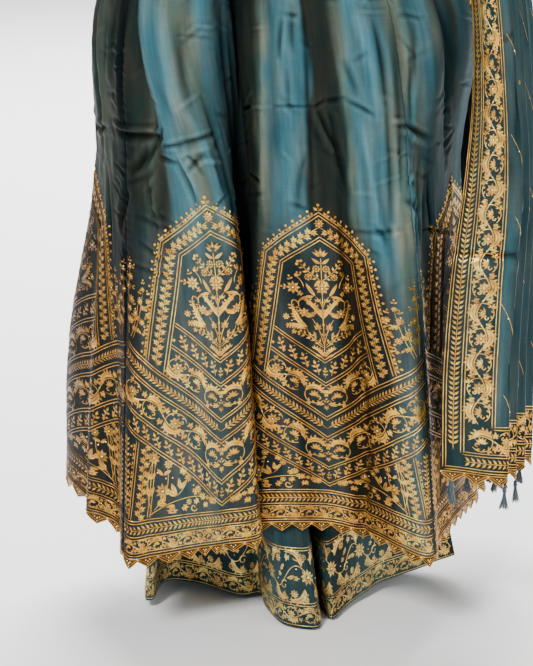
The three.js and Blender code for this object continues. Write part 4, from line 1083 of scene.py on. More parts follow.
def gore_pattern():
    """All the zari of one gore."""
    foot = HEM_TOP - 4
    outer = arch_line(ARCH_TIP, 0, meets(TIP_EAR - 5, 0)[1])
    inner = arch_line(ARCH_INNER_TIP, ARCH_BORDER, meets(TIP_EAR - 5, ARCH_BORDER)[1])
    petals = arch_line((ARCH_TIP + ARCH_INNER_TIP) / 2 + 1, ARCH_BORDER / 2,
                       meets(TIP_EAR - 10, ARCH_BORDER / 2)[1])
    under = lambda b: np.array([meets(TIP_FIELD + 6, b), (arch_side(foot, b), foot)]) * (1, -1)
    parts = [double_line(outer), double_line(inner)]
    parts += [mirrored(double_line(under(b))) for b in (0, ARCH_BORDER)]
    parts += [double_line(chevron(tip, meets(tip, ARCH_BORDER + 2)))
              for tip in (TIP_SPRIGS, TIP_SCROLLS)]
    parts += [double_line(chevron(tip, seam_meets(tip)))
              for tip in (TIP_EAR, TIP_HEARTS, TIP_LAST, TIP_FIELD)]
    # The arch's border: lobed leaves that climb both sides to the tip, trefoils along its edge.
    parts += [mirrored(ivy_pairs(petals[2:][::-1], 11.2, 10.4, 10.0, 60)),
              at(star(8), 0, ARCH_TIP + 14), mirrored(florets(beside(outer[2:], 3.0), 12, 1.45)),
              at(trefoil(1.7), 0, ARCH_TIP - 4, 90),
              mirrored(ivy_pairs(under(ARCH_BORDER / 2)[::-1], 11.2, 10.4, 10.0, 60)),
              mirrored(florets(beside(under(0), 3.0), 12, 1.3))]
    # Slanting bands, each by the tip of its middle line.
    ear, sprigs, last, scrolls, hearts = (
        (a + b) / 2
        for a, b in ((TIP_EAR, TIP_HEARTS), (TIP_SPRIGS, TIP_SCROLLS), (TIP_LAST, TIP_FIELD),
                     (TIP_SCROLLS, TIP_EAR), (TIP_HEARTS, TIP_LAST)))
    parts.append(mirrored(wheat_ear(chevron(ear, seam_meets(ear, 3))[1:], 6.0, 11.0, 3.9, 36)))
    for tip, ends in ((sprigs, meets(sprigs, ARCH_BORDER)), (last, seam_meets(last))):
        x, y, d = along(chevron(tip, ends)[1:], 19.5, start=15.0)
        parts.append(mirrored(motif(lay(sprig(), x, y - 1, d + 38, 1.35),
                                    lay(sequin(), x[::2], y[::2]),
                                    lay(ivy(6, 6), x + 11, y + 1, d + 5),
                                    lay(dot(1.3), x - 3, y + 9))))
        parts.append(at(sprig(), 0, tip - 1, 90, 0.9))
    parts += [chevron_scrolls(scrolls, meets(scrolls, ARCH_BORDER + 1), 14.5, 32),
              chevron_scrolls(hearts, seam_meets(hearts), 15.5, 35),
              bouquet(), mirrored(seam_bouquet()), mirrored(field_spray())]
    # A leafy stem climbs beside the seam below the chevrons.
    climbing = np.array([(half_gore(d) - 8, -d) for d in (894, 850, 792)])
    parts.append(mirrored(wheat_ear(climbing, 7.0, 10.5, 4.2, 38)))
    # Hem border: an ear of leaves between double lines, then a running scroll.
    level = lambda down, half: np.array([(half, -down), (-half, -down)])
    parts += [double_line(level(down, half_gore(down) - 1.2))
              for down in (HEM_TOP, HEM_MIDDLE, HEM_FOOT)]
    half = half_gore(HEM_TOP + 11) - 2
    parts += [wheat_ear(level((HEM_TOP + HEM_MIDDLE) / 2, half), 6.4, 11.0, 4.4, 42),
              running_scroll(level((HEM_MIDDLE + HEM_FOOT) / 2, half)[::-1], 21, 8.6, 7)]
    return motif(*parts)


# Gilt colours: pale for painted highlight, the gilt's own colour, and brown for painted shade.
GOLD_HIGHLIGHT, GOLD, GOLD_SHADE = srgb("ffd47e"), srgb("e2a23e"), srgb("563c18")
RIM = 0.42                       # the needlework's rim lies this far out from the cloth's middle


def gilt_tone(under, pattern, lift):
    """The zari's colour over a cloth colour, with painted light and shade: brown and dimmed where
    the cloth's painted colour is dark, pale where it is bright, painted shade along the rim and a
    painted highlight on the crest. Some motifs are brighter."""
    light = under @ np.array([0.25, 0.55, 0.2])
    t = np.clip(0.1 + light / 0.075 + lift, 0, 0.66)[:, None]
    lower, upper = mix(GOLD_SHADE, GOLD, smooth(t * 2)), mix(GOLD, GOLD_HIGHLIGHT, smooth(t * 2 - 1))
    tone = np.where(t < 0.5, lower, upper)
    crest = smooth(pattern[:, 2] / 0.9)[:, None]
    x, y = pattern[:, 0] + 2000, pattern[:, 1] + 2000
    chance = 1 + (0.40 * crumple(x, y, 6, 6, 5) + 0.22 * crumple(x, y, 2.4, 2.4, 6))[:, None]
    dim = np.clip(light / 0.006, 0.45, 1)[:, None]
    return np.clip(tone * mix(0.2, 1.4, crest) * chance * dim, 0, 1)


def embroider(name, cloth, pattern, place, lift=0.0, wash=(1, 1, 1)):
    """Lays a flat pattern on a cloth. `place` turns the pattern's x and y into grid places, `lift`
    brightens the gilt, and `wash` is its own tone, since paler wire was used on some pieces."""
    points, faces, kinds = pattern
    onto, under = cloth.at(*place(points[:, 0], points[:, 1]), RIM + points[:, 2])
    tone = np.clip(gilt_tone(under, points, lift) * np.array(wash), 0, 1)
    return mesh_piece(name, onto, faces, [ZARI, SEQUIN], "gilt_lace", colours=tone, kinds=kinds)


GORE_SLIP = {0: 11, -1: -11}     # mm that the front gores' patterns sit lower or higher
GORE_PATTERN = gore_pattern()
LACE_TEETH = 12
TOOTH_ROOT, TOOTH_TIP, LACE_LINE, HALF_NET = 5, 16, 20, 0.45
TOOTH_STEPS = 10                 # places along the hem to a tooth
# Cords of the edging: the place in a tooth, as a share of its depth, mm added and least depth,
# then rise and width.
LACE_CORDS = ((1, -0.6, 0, 1.2, 1.9), (0, 1.2, 0, 1.1, 1.7), (1, -4.6, 3.6, 0.9, 1.1))
# Beads of each tooth: mm down, steps aside, size, and 1 for a sequin or 0 for gilt.
LACE_BEADS = ((12.2, 0, 0.8, 1), (7.6, 0, 1.0, 1), (5.2, -1, 0.8, 0), (5.2, 1, 0.8, 0),
              (2.6, -5, 1.0, 1))


def hem_frame(cloth, steps, start, line):
    """Along a hem: its places, the direction that leaves the cloth, and outwards. `line` leads to
    a place inside; a hem whose inside lies the other way is laid backwards, to face out."""
    edge, inside = (cloth.at(steps, np.full_like(steps, v), 0 * steps)[0]
                    for v in (start, start + line))
    direction, way = unit(edge - inside), 1 if line > 0 else -1
    outwards = unit(np.cross(np.gradient(edge, axis=0), -direction) * way)
    return edge[::way], direction[::way], outwards[::way]


def lace_piece(node_name, teeth, *hem):
    """Gilt edging below a hem: a net strip whose depth follows pointed teeth, a cord along its
    points and one along its top, a smaller tooth of cord inside each, and a bead in each point
    with smaller ones round it."""
    edge, direction, outwards = hem_frame(*hem)
    n = len(edge)
    saw = np.abs(np.mod(np.linspace(0, teeth, n), 1) - 0.5) * 2
    deep = mix(TOOTH_TIP, TOOTH_ROOT, saw)
    depth = SEAM_GAP + np.linspace(0, 1, 5)[None, :] * deep[:, None]
    net = edge[:, None] + direction[:, None] * depth[..., None]
    out = outwards[:, None] * HALF_NET
    points = np.concatenate([net + out, net[:, ::-1] - out], 1)
    count = points.shape[1]
    i, j = np.arange(n - 1)[:, None], np.arange(count)[None, :]
    k = (j + 1) % count
    # Rows run downwards, so the corners go down first to look outwards.
    quads = np.stack([i * count + j, i * count + k, (i + 1) * count + k, (i + 1) * count + j],
                     -1).reshape(-1, 4)
    caps = np.array([[0, c + 1, c] for c in range(1, count - 1)])
    faces = [quads[:, [0, 1, 2]], quads[:, [0, 2, 3]], caps[:, ::-1], caps + (n - 1) * count]
    start = n * count
    # The net takes the painted-shade brown, each cord painted shade at its sides and the gilt
    # colour on its crest, and the beads the painted-highlight colour.
    parts, tones, kinds = [points.reshape(-1, 3)], [np.tile(GOLD_SHADE * 0.8, (start, 1))], [0] * 4
    for share, added, least, rise, width in LACE_CORDS:
        inset = np.maximum(deep * share + added, least)[:, None]
        middle = edge + direction * inset + outwards * 0.35
        line = [middle - direction * width / 2, middle + outwards * rise,
                middle + direction * width / 2]
        parts.append(np.stack(line, 1).reshape(-1, 3))
        faces.append(cord_faces(n) + start)
        tones.append(np.tile([GOLD_SHADE, GOLD, GOLD_SHADE], (n, 1)))
        kinds.append(0)
        start += 3 * n
    side = unit(np.gradient(edge, axis=0))
    points, bead_faces, _ = dot(1.3, 1.6)
    middle = ((np.arange(teeth) + 0.5) / teeth * (n - 1)).round().astype(int)
    for down, shift, size, kind in LACE_BEADS:
        k = np.clip(middle + shift, 0, n - 1)
        across, up, out = (points * np.array([size, size, 1])).T[:, None, :, None]
        right, below, front = side[k][:, None], direction[k][:, None], outwards[k][:, None]
        centre = edge[k][:, None] + below * down + front * 0.4
        made = centre + right * across - below * up + front * out
        starts = start + np.arange(teeth) * len(points)
        parts.append(made.reshape(-1, 3))
        faces.append((bead_faces + starts[:, None, None]).reshape(-1, 3))
        tones.append(np.tile(GOLD_HIGHLIGHT, (teeth * len(points), 1)))
        kinds.append(kind)
        start += teeth * len(points)
    which = np.concatenate([np.full(len(f), kind) for f, kind in zip(faces, kinds)])
    return mesh_piece(f"{node_name}_gilt", np.vstack(parts), np.vstack(faces), [GILT_LACE, SEQUIN],
                      "gilt_lace", [node_name], np.vstack(tones), kinds=which)


FRONT_GORES, WORKED_DROP = (-2, -1, 0, 1), 0.58
TRIM = 1 - SEAM_GAP / MEAN_GORE
for number in range(GORES):
    middle = number if number < GORES / 2 else number - GORES
    front = middle in FRONT_GORES
    # Rows run upwards: the drop falls from 1 at the hem to the waist seam. Front gores get more.
    bare_rows, worked_rows, columns = (200, 90, 121) if front else (80, 50, 53)
    drops = np.r_[np.linspace(1, WORKED_DROP, worked_rows, endpoint=False),
                  np.linspace(WORKED_DROP, SEAM_GAP / SKIRT_LONG, bare_rows)]
    gore = Cloth(lambda u, v: skirt(middle + u * TRIM, 1 - v), np.linspace(-0.5, 0.5, columns),
                 1 - drops, lambda u, v: skirt_relief(middle + u, 1 - v))
    # Painted shade darkens each crease and a painted highlight lightens its lip.
    turned = np.clip(1 + 0.3 * crease_relief(middle + gore.u, 1 - gore.v), 0.3, 1.5)
    gore.colours = skirt_colour_and_painted_light(middle + gore.u, 1 - gore.v) * turned[..., None]
    name = f"gore_{number + 1}"
    made = gore.piece(f"{name}_silk", KURTA_SILK, "kurta_silk", [name], CLOTH,
                      gore.u * gore_width(1 - gore.v), gore.v * SKIRT_LONG)

    def gore_place(x, y):
        """The pattern slips a little on some gores, and the front one's side is pulled in."""
        down = -y + GORE_SLIP.get(middle, 0) * (1 - smooth((-y - 800) / 100))
        if middle == 0:
            x = x - 15 * bump((x - 84) / 58) * bump((down - 600) / 240)
        return x / gore_width(down / SKIRT_LONG), 1 - down / SKIRT_LONG

    work = embroider(f"{name}_zari", gore, GORE_PATTERN, gore_place)
    steps = np.linspace(-0.5, 0.5, LACE_TEETH * TOOTH_STEPS + 1)
    lace = lace_piece(f"hem_lace_{number + 1}", LACE_TEETH, gore, steps, 0.0,
                      LACE_LINE / SKIRT_LONG)

# ---------------------------------------------------------------- bodice
TORSO = np.array([(WAIST_Z, WAIST_WIDE, WAIST_DEEP), (-240, 181, 124), (-120, 180, 116),
                  (0, 185, 108)], float)
NECK_SIDE, FRONT_NECK, BACK_NECK, SHOULDER_HALF = 0.25, 125, 45, 185
NECK_HALF = SHOULDER_HALF * np.sin(NECK_SIDE * np.pi / 2)
SIDE_GAP, SHOULDER_DROP, SHOULDER_ROUND = 0.5, 38, 90
ARMHOLE_MIDDLE, ARMHOLE_HIGH, ARMHOLE_DEEP = -126.5, 88.5, 60


def torso(z, column):
    return through(TORSO[:, 0], TORSO[:, column], z)


def armhole_depth(z):
    """How far the armhole's edge stands off the side seam's plane: an oval, fuller above."""
    t = np.clip((z - ARMHOLE_MIDDLE) / ARMHOLE_HIGH, -1, 1)
    return ARMHOLE_DEEP * (1 - t * t) ** np.where(t > 0, 0.875, 0.5)


def chest_depth(z, slope):
    """Depth of the chest at a height, rounding in below the shoulder seam."""
    t = np.clip((-SHOULDER_DROP * slope - z) / SHOULDER_ROUND, 0, 1)
    return torso(z, 2) * np.sqrt(1 - (1 - t) ** 2)


def bodice(facing, neck):
    """Panel from the waist seam to neckline and shoulder: an oval section whose half angle shrinks
    beside the armhole, with a parabola cut out for the neck."""
    def surface(u, v):
        s = -facing * u
        away = SHOULDER_HALF * np.sin(np.abs(s) * np.pi / 2)
        sloping = np.clip((away - NECK_HALF) / (SHOULDER_HALF - NECK_HALF), 0, 1)
        dip = 1 - np.clip(away / NECK_HALF, 0, 1) ** 2
        top = np.where(away < NECK_HALF, -neck * dip, -SHOULDER_DROP * sloping)
        z = mix(WAIST_Z + SEAM_GAP, top, v)
        depth = chest_depth(z, sloping)
        angle = s * np.arccos(np.clip(armhole_depth(z) / np.maximum(depth, 1), 0, 0.9))
        return np.stack([torso(z, 1) * np.sin(angle), facing * (depth * np.cos(angle) + SIDE_GAP),
                         z], -1)
    return surface


def bodice_relief(seed):
    """Gathers rising from the waist seam, drag lines towards the arm, a turned edge at the top,
    and soft crumple; all fade out at the panel's edges."""
    def relief(u, v):
        rim = smooth(np.minimum(v, 1 - v) / 0.07) * smooth((1 - np.abs(u)) / 0.06)
        gathers = 1.3 * np.sin(u * 46 + 2 * np.sin(u * 7)) * (1 - smooth(v / 0.35))
        drag = (1.5 * np.sin(26 * v - 9 * np.abs(u) + seed) * bump((np.abs(u) - 0.8) / 0.45)
                * bump((v - 0.5) / 0.3))
        soft = (1.6 * crumple(u * 180, v * 330, 46, 90, seed)
                + 0.5 * crumple(u * 180, v * 330, 15, 17, seed + 1))
        hem = 0.5 * smooth((v - 0.955) / 0.01) * smooth((1 - v) / 0.01 + 0.5)
        return rim * (gathers + drag + soft) + hem
    return relief


def soft_shot(u, v, seed, turns=5.0):
    """Colour of silk that hangs nearly plain: broad bands of teal and grey-green, light on the
    bands' crests, wavering with the crumple."""
    t = 0.5 + 0.5 * np.sin(turns * np.pi * u + 0.7 * crumple(u * 9, v * 1.5, 0.8, 1.1, seed) + seed)
    grey = smooth(0.5 + crumple(u * 9, v * 0.8, 1.1, 1.0, seed + 5))
    deep, pale = (mix(a, b, grey[..., None]) for a, b in ((MUTED, GREY), (TEAL, GREEN)))
    return mix(deep, pale, smooth(t)[..., None])


for side_name, facing, neck, seed in (("front", -1, FRONT_NECK, 31), ("back", 1, BACK_NECK, 41)):
    panel = Cloth(bodice(facing, neck), np.sin(np.linspace(-np.pi / 2, np.pi / 2, 89)) * 0.6
                  + np.linspace(-0.4, 0.4, 89), np.linspace(0, 1, 96), bodice_relief(seed))
    # The grain of the cut panel runs straight up it, whatever its edges do.
    grain = 175 * np.arcsin(np.clip(panel.points[..., 0] / 200, -1, 1))
    height = panel.points[..., 2] - WAIST_Z
    panel.colours = soft_shot(grain / 240, height / 335, seed)
    node_name = f"bodice_{side_name}"
    made = panel.piece(f"{node_name}_silk", KURTA_SILK, "kurta_silk", [node_name], CLOTH, grain,
                       height)

# ---------------------------------------------------------------- sleeves
CUFF_X, CUFF_Z, CUFF_TILT, CUFF_HALF, CUFF_DEEP = 300, -352, np.radians(27), 58, 55
SLEEVE_EASE, SLEEVE_START, SLEEVE_ROUND, SLEEVE_LONG = 12, 1.2, 430, 260


def sleeve(hand):
    """Tube from the armhole's oval to the cuff's, straight between, with the cap eased out. Turn 0
    is over the shoulder, and v runs up from the cuff."""
    def surface(u, v):
        a = 2 * np.pi * u * hand
        z = ARMHOLE_MIDDLE + ARMHOLE_HIGH * np.cos(a)
        y = -np.sign(np.sin(a)) * armhole_depth(z)
        depth = np.maximum(chest_depth(z, 1), 1)
        side = np.sqrt(1 - np.minimum(np.abs(y) / depth, 0.9) ** 2)
        hole = np.stack([torso(z, 1) * side + SLEEVE_START, y, z], -1)
        reach = CUFF_HALF * np.cos(a)
        cuff = np.stack([CUFF_X + reach * np.cos(CUFF_TILT), -CUFF_DEEP * np.sin(a),
                         CUFF_Z + reach * np.sin(CUFF_TILT)], -1)
        point = mix(hole, cuff, (1 - v)[..., None])
        ease = SLEEVE_EASE * np.sin(np.pi * (1 - v)) * np.maximum(np.cos(a), 0)
        point[..., 0] += ease * np.cos(CUFF_TILT)
        point[..., 2] += ease * np.sin(CUFF_TILT)
        point[..., 0] *= hand
        return point
    return surface


def sleeve_relief(seed):
    """Rings of slack at the inside of the elbow, long soft folds down the sleeve, and crumple."""
    def relief(u, v):
        rim = smooth(v / 0.04) * smooth((1 - v) / 0.06)
        around = 2 * np.pi * u
        slack = (2.6 * np.sin(34 * v + 1.5 * np.sin(around * 2) + seed) * bump((v - 0.42) / 0.32)
                 * (0.4 + 0.6 * np.cos(around - 2.2 + seed) ** 2))
        folds = 1.7 * np.sin(5 * around + 3 * v + seed) * bump((v - 0.5) / 0.6)
        wrap = lambda cx, cy, s: crumple(
            np.cos(around) * 60 + 60, v * SLEEVE_LONG + np.sin(around) * 60, cx, cy, s)
        return rim * (slack + folds + 1.4 * wrap(30, 34, seed) + 0.4 * wrap(9, 10, seed + 1))
    return relief


for side_name, hand in (("left", 1), ("right", -1)):
    turns = np.linspace(0, 1, 72, endpoint=False)
    tube = Cloth(sleeve(hand), turns, np.linspace(0, 1, 84), sleeve_relief(50 + hand), ring=True)
    tube.colours = soft_shot(np.cos(2 * np.pi * tube.u), tube.v, 50 + hand, 3.0)
    node_name = f"sleeve_{side_name}"
    made = tube.piece(f"{node_name}_silk", KURTA_SILK, "kurta_silk", [node_name], CLOTH,
                      tube.u * SLEEVE_ROUND, tube.v * SLEEVE_LONG)

# ---------------------------------------------------------------- palazzo
BAND_Z, BAND_HIGH, BAND_WIDE, BAND_DEEP, BAND_WALL, BAND_LONG = -378, 38, 169, 115, 2.4, 900
CROTCH_Z, PALAZZO_HEM_Z = -690, -1430
THIGH_MIDDLE, THIGH_WIDE, THIGH_DEEP, THIGH_ROUND, LEG_FLARE = 88, 86, 88, 290.0, 1.5
# Hems from inseam to side seam: share of the panel's width, x, y and lift.
LEG_HEMS = {
    "right_front": [(0, 56, 5, 0), (0.1, 59, -70, 0), (0.18, 57, -136, 0), (0.25, 15, -127, 0),
                    (0.31, -5, -102, 0), (0.38, -23, -54, 2), (0.46, -30, -12, 5),
                    (0.52, -58, -20, 5), (0.63, -118, 8, 12), (0.76, -180, -4, 20),
                    (0.85, -195, -54, 11), (0.89, -205, -52, 10), (0.95, -208, -14, 10),
                    (1, -208, 25, 10)],
    "right_back": [(0, 56, 5, 0), (0.1, 74, 52, 2), (0.2, 62, 88, 5), (0.4, -10, 118, 10),
                   (0.6, -90, 128, 14), (0.8, -164, 112, 12), (1, -208, 25, 10)],
    "left_front": [(0, 66, 10, 0), (0.2, 68, -72, 0), (0.27, 79, -100, 0), (0.36, 101, -63, 3),
                   (0.5, 129, -19, 8), (0.62, 159, 10, 15), (0.82, 218, 33, 28), (1, 277, 60, 40)],
    "left_back": [(0, 66, 10, 0), (0.2, 78, 85, 5), (0.4, 125, 124, 12), (0.7, 200, 122, 25),
                  (0.9, 258, 95, 36), (1, 277, 60, 40)]}
LEG_LONG = BAND_Z - PALAZZO_HEM_Z


def palazzo(hand, facing, rows):
    """Panel that hangs from the waistband's oval, rounds to the thigh at the crotch and flares to
    the hem's folds below it."""
    rows = np.array(rows, float)
    crotch = (CROTCH_Z - BAND_Z) / (PALAZZO_HEM_Z - BAND_Z)

    def surface(at, v):
        drop = 1 - v
        quarter = at * np.pi / 2
        waist_x = hand * (BAND_WIDE * np.sin(quarter) + SEAM_GAP)
        waist_y = facing * BAND_DEEP * np.cos(quarter)
        thigh_x = hand * (THIGH_MIDDLE - THIGH_WIDE * np.cos(np.pi * at))
        thigh_y = facing * (THIGH_DEEP * np.sin(np.pi * at) + SEAM_GAP)
        upper = smooth(drop / crotch)
        lower = np.clip((drop - crotch) / (1 - crotch), 0, 1) ** LEG_FLARE
        hem = through(rows[:, 0], rows[:, 1:], at)
        return np.stack([
            mix(mix(waist_x, thigh_x, upper), hem[..., 0], lower),
            mix(mix(waist_y, thigh_y, upper), hem[..., 1] + facing * SEAM_GAP, lower),
            mix(BAND_Z - SEAM_GAP, PALAZZO_HEM_Z + hem[..., 2], drop)], -1)
    return surface


def leg_relief(seed):
    """Long soft folds and crumple, quiet at the seams."""
    def relief(at, v):
        rim = smooth(np.minimum(at, 1 - at) / 0.04)
        return rim * (1.6 * crumple(at * 400, v * LEG_LONG, 34, 190, seed)
                      + 0.9 * crumple(at * 400, v * LEG_LONG, 20, 26, seed + 1)
                      + 0.3 * crumple(at * 400, v * LEG_LONG, 8, 9, seed + 2))
    return relief


LEG_DARK, LEG_MID, LEG_LIT = srgb("141f21"), srgb("213335"), srgb("324a4d")


def leg_pattern(wide):
    """The palazzo's border, y up from the hem: a running scroll, a double line, a tall band of a
    winding stem with large flowers and curling leaves, and a closing double line."""
    inset = 2.0
    line = lambda up: double_line([(wide - inset, up), (inset, up)])
    parts = [ribbon(dense([(wide - inset, 3), (inset, 3)]), STRAND), line(35), line(118)]
    parts.append(running_scroll(np.array([(inset + 2, 19), (wide - inset - 2, 19)]), 26, 10.8))
    count = max(int(round(wide / 80)), 1)
    pitch = wide / count
    x = (np.arange(count) + 0.5) * pitch
    stem = np.linspace(inset + 3, wide - inset - 3, int(wide / 4))
    parts.append(ribbon(np.stack([stem, 76 + 17 * np.sin(2 * np.pi * stem / pitch)], 1), 2.0))
    upper, lower = (acanthus(arc(0, 0, *bend, 10), 10, side=side)
                    for bend, side in (((27, 13, 9), 1), ((30, -14, -10), -1)))
    # Each motif's place in a repeat: mm and a share of the pitch from its middle, y and turn.
    parts += [lay(shape, x + mm + pitch * share, up, turn) for shape, mm, share, up, turn in (
        (star(14.5, 9), -3, 0, 76, 0), (star(8), 0, 0.3, 102, 0), (star(7.4), 0, -0.34, 50, 0),
        (rosette(5.4), 0, 0.15, 49, 0), (rosette(5), 0, -0.08, 106, 0), (upper, 6, 0, 94, 8),
        (lower, 14, 0, 62, -10), (upper, -10, 0, 58, 188),
        (acanthus(arc(0, 0, 30, -14, -10, 10), 9, side=-1), -12, 0, 92, 165),
        (curl(8, 0.9, 3.2, 40), 0, 0.44, 62, 0), (curl(7, 0.9, 3.0, 200), 0, -0.22, 107, 0),
        (leaf(15, 7, 0.25), 0, 0.34, 84, 35), (leaf(15, 7, -0.25), 0, -0.3, 78, 215),
        (ivy(12, 13), 0, 0.2, 108, 120), (ivy(12, 13), 0, -0.14, 45, 300),
        (ivy(12, 13), 0, 0.4, 44, 70), (ivy(12, 13), 0, -0.42, 108, 250))]
    parts += [lay(ivy(10, 11), np.r_[x + 22, x - 24], np.repeat([78, 74], count)),
              lay(sequin(), np.r_[x + pitch * 0.24, x - pitch * 0.26, x + pitch * 0.46],
                  np.repeat([70.0, 88.0, 92.0], count))]
    return motif(*parts)


for number, (leg, rows) in enumerate(LEG_HEMS.items()):
    hand, facing = (1 if leg.startswith("left") else -1), (-1 if leg.endswith("front") else 1)
    shape = palazzo(hand, facing, rows)
    # Seen from outside, `at` runs to the right on the left front and the right back.
    surface = shape if hand != facing else lambda u, v: shape(1 - u, v)
    hem_line = shape(np.linspace(0, 1, 200), np.zeros(200))[:, :2]
    hem_long = float(np.linalg.norm(np.diff(hem_line, axis=0), axis=1).sum())
    columns = np.linspace(0.002, 0.998, 73 if leg == "right_front" else 49)
    up = np.r_[np.linspace(0, 0.3, 52, endpoint=False), np.linspace(0.3, 1, 34)]
    panel = Cloth(surface, columns, up, leg_relief(60 + number))
    tone = 0.5 + 0.5 * crumple(panel.u * 6, panel.v * 2, 1, 1, 70 + number)
    lower, upper = smooth(tone * 2)[..., None], smooth(tone * 2 - 1)[..., None]
    panel.colours = mix(mix(LEG_DARK, LEG_MID, lower), LEG_LIT, upper)
    made = panel.piece(f"palazzo_{leg}_silk", PALAZZO_SILK, "palazzo_silk", [f"palazzo_{leg}"],
                       CLOTH, panel.u * hem_long, panel.v * LEG_LONG)
    work = embroider(f"palazzo_{leg}_zari", panel, leg_pattern(hem_long),
                     lambda x, y: (x / hem_long, y / LEG_LONG), 0.2, (0.85, 0.98, 1.5))


def band(u, v):
    """Oval ring, gathered on its cord."""
    a = 2 * np.pi * u
    return np.stack([BAND_WIDE * np.sin(a), -BAND_DEEP * np.cos(a), BAND_Z + BAND_HIGH * v], -1)


ring = Cloth(band, np.linspace(0, 1, 240, endpoint=False), np.linspace(0, 1, 12),
             lambda u, v: 0.5 * np.sin(2 * np.pi * 48 * u) * bump((v - 0.5) / 0.55), ring=True)
ring.colours = np.broadcast_to(LEG_MID, ring.points.shape)
waistband = ring.piece("palazzo_band_silk", PALAZZO_SILK, "palazzo_silk", ["palazzo_waistband"],
                       BAND_WALL, ring.u * BAND_LONG, ring.v * BAND_HIGH)

# ---------------------------------------------------------------- dupatta
VEIL_WIDE, BORDER_TURN, PLEATS, PLEAT_TURN, PLEAT_STEP, PLEAT_START = 900, 75, 8, 0.96, 0.8, 1 / 6
VEIL_WALL = 1.0
# Stations: y, z, lead, span, step, deep, tilt, fold and tuck of the stack of pleats on its way
# over the shoulder.
STATIONS = np.array([
    (-246, -1143, 211, 102, 16, 20, -0.16, 0, 0.1), (-246, -1000, 209, 103, 16, 20, -0.08, 2, 0.12),
    (-243, -880, 212, 104, 15, 19, 0, 12, 0.2), (-234, -740, 222, 98, 15, 18, 0, 33, 0.35),
    (-218, -600, 227, 84, 14, 16, 0, 50, 0.5), (-205, -480, 220, 78, 13, 13, 0, 52, 0.6),
    (-187, -330, 186, 82, 9, 9, 0, 12, 0.4), (-168, -190, 140, 88, 5, 6, -0.05, 0, 0),
    (-136, -80, 102, 88, 2, 3.6, -0.2, 0, 0), (-80, 4, 86, 88, 1, 3.2, -0.32, 0, 0),
    (0, 31, 82, 88, 1, 3.2, -0.345, 0, 0), (80, 4, 86, 88, 1, 3.2, -0.32, 0, 0),
    (136, -80, 102, 88, 2, 3.6, -0.2, 0, 0), (176, -190, 142, 91, 5, 6, -0.05, 0, 0),
    (216, -330, 186, 94, 9, 9, 0, 0, 0), (252, -480, 218, 98, 12, 13, 0, 0, 0),
    (290, -700, 232, 104, 15, 17, 0, 0, 0), (318, -950, 236, 106, 16, 19, 0, 0, 0),
    (334, -1170, 234, 108, 16, 20, 0, 0, 0)], float)
STATION_ALONG = np.r_[0, np.cumsum(np.hypot(*np.diff(STATIONS[:, :2], axis=0).T))]
VEIL_LONG = float(STATION_ALONG[-1])


def veil(across, length):
    """The pleated stack: a pleat swings sideways as a rounded zigzag of the way across, each layer
    lies behind the last, and the leading border turns back by `fold`."""
    stack = np.moveaxis(through(STATION_ALONG, STATIONS, length), -1, 0)
    y, z, lead, span, step, deep, tilt, fold, tuck = stack
    ahead, behind = (through(STATION_ALONG, STATIONS[:, :2], length + s) for s in (1, -1))
    dy, dz = np.moveaxis(ahead - behind, -1, 0)
    layer = PLEAT_START + across / (VEIL_WIDE / PLEATS)
    swing = np.arcsin(PLEAT_TURN * np.sin(np.pi * (layer - 0.5))) / np.arcsin(PLEAT_TURN)
    even = 0.5 + 0.5 * swing
    reach = np.where(layer > 1, mix(tuck, 1, even), even)
    back = fold * np.clip(1 - across / BORDER_TURN, 0, 1) ** 2
    sideways = reach * span + (step * layer + back) / 2
    depth = layer + PLEAT_STEP * np.sin(2 * np.pi * layer) / (2 * np.pi)
    inward = (deep * depth + back) / np.hypot(dy, dz)
    return np.stack([lead + sideways, y + dz * inward, z - dy * inward + tilt * sideways], -1)


VEIL_CREASES = np.array([(0, 560, 100, 610, 5, 2.2), (0, 748, 110, 742, 4, 2.6),
                         (0, 905, 100, 925, 4, 2.2), (-30, 306, 140, 300, 5, 2.6),
                         (-30, 292, 140, 286, 9, -1.3), (70, 400, 112, 640, 6, 2.4),
                         (75, 90, 76, 280, 8, -1.6), (88, 110, 104, 240, 6, 1.8),
                         (10, 150, 60, 128, 5, 1.4), (80, 330, 112, 420, 6, -1.6),
                         (5, 1180, 100, 1230, 6, 2), (0, 1650, 110, 1680, 5, 2.2),
                         (0, 2050, 110, 2030, 5, 2.2), (0, 2330, 110, 2340, 5, 2.2)], float)


def veil_creases(across, length):
    """Packing creases: a bell across each line, fading at both ends."""
    total = np.zeros_like(across)
    for x0, y0, x1, y1, width, depth in VEIL_CREASES:
        dx, dy = x1 - x0, y1 - y0
        long = np.hypot(dx, dy)
        s = np.clip(((across - x0) * dx + (length - y0) * dy) / long ** 2, 0, 1)
        far = np.hypot(across - x0 - s * dx, length - y0 - s * dy) / width
        total -= depth * np.exp(-far ** 2 * 1.6) * np.sin(np.pi * np.clip(s, 0.05, 0.95)) ** 0.5
    return total


def veil_relief(across, length):
    """Creases across the outer pleats, flow along the length and light crumple; all are small
    where the pleats lie close on the shoulder."""
    room = through(STATION_ALONG, STATIONS[:, 5], length) / 20
    flow = 1.3 * crumple(across, length, 30, 170, 81) + 0.6 * crumple(across, length, 16, 22, 82)
    return (1.5 * veil_creases(across, length) * smooth(room * 2)
            + 0.16 * crumple(across, length, 8, 9, 83) + room * flow)


# Dupatta colours: painted shade and painted shadow for the pleats' turns, then a mid teal and a
# lighter teal for painted highlight along the pleats' middles.
VEIL_TURN_SHADOW, VEIL_TURN_SHADE = srgb("0f191a"), srgb("2b4043")
VEIL_MID, VEIL_LIT = srgb("3d5656"), srgb("50696a")


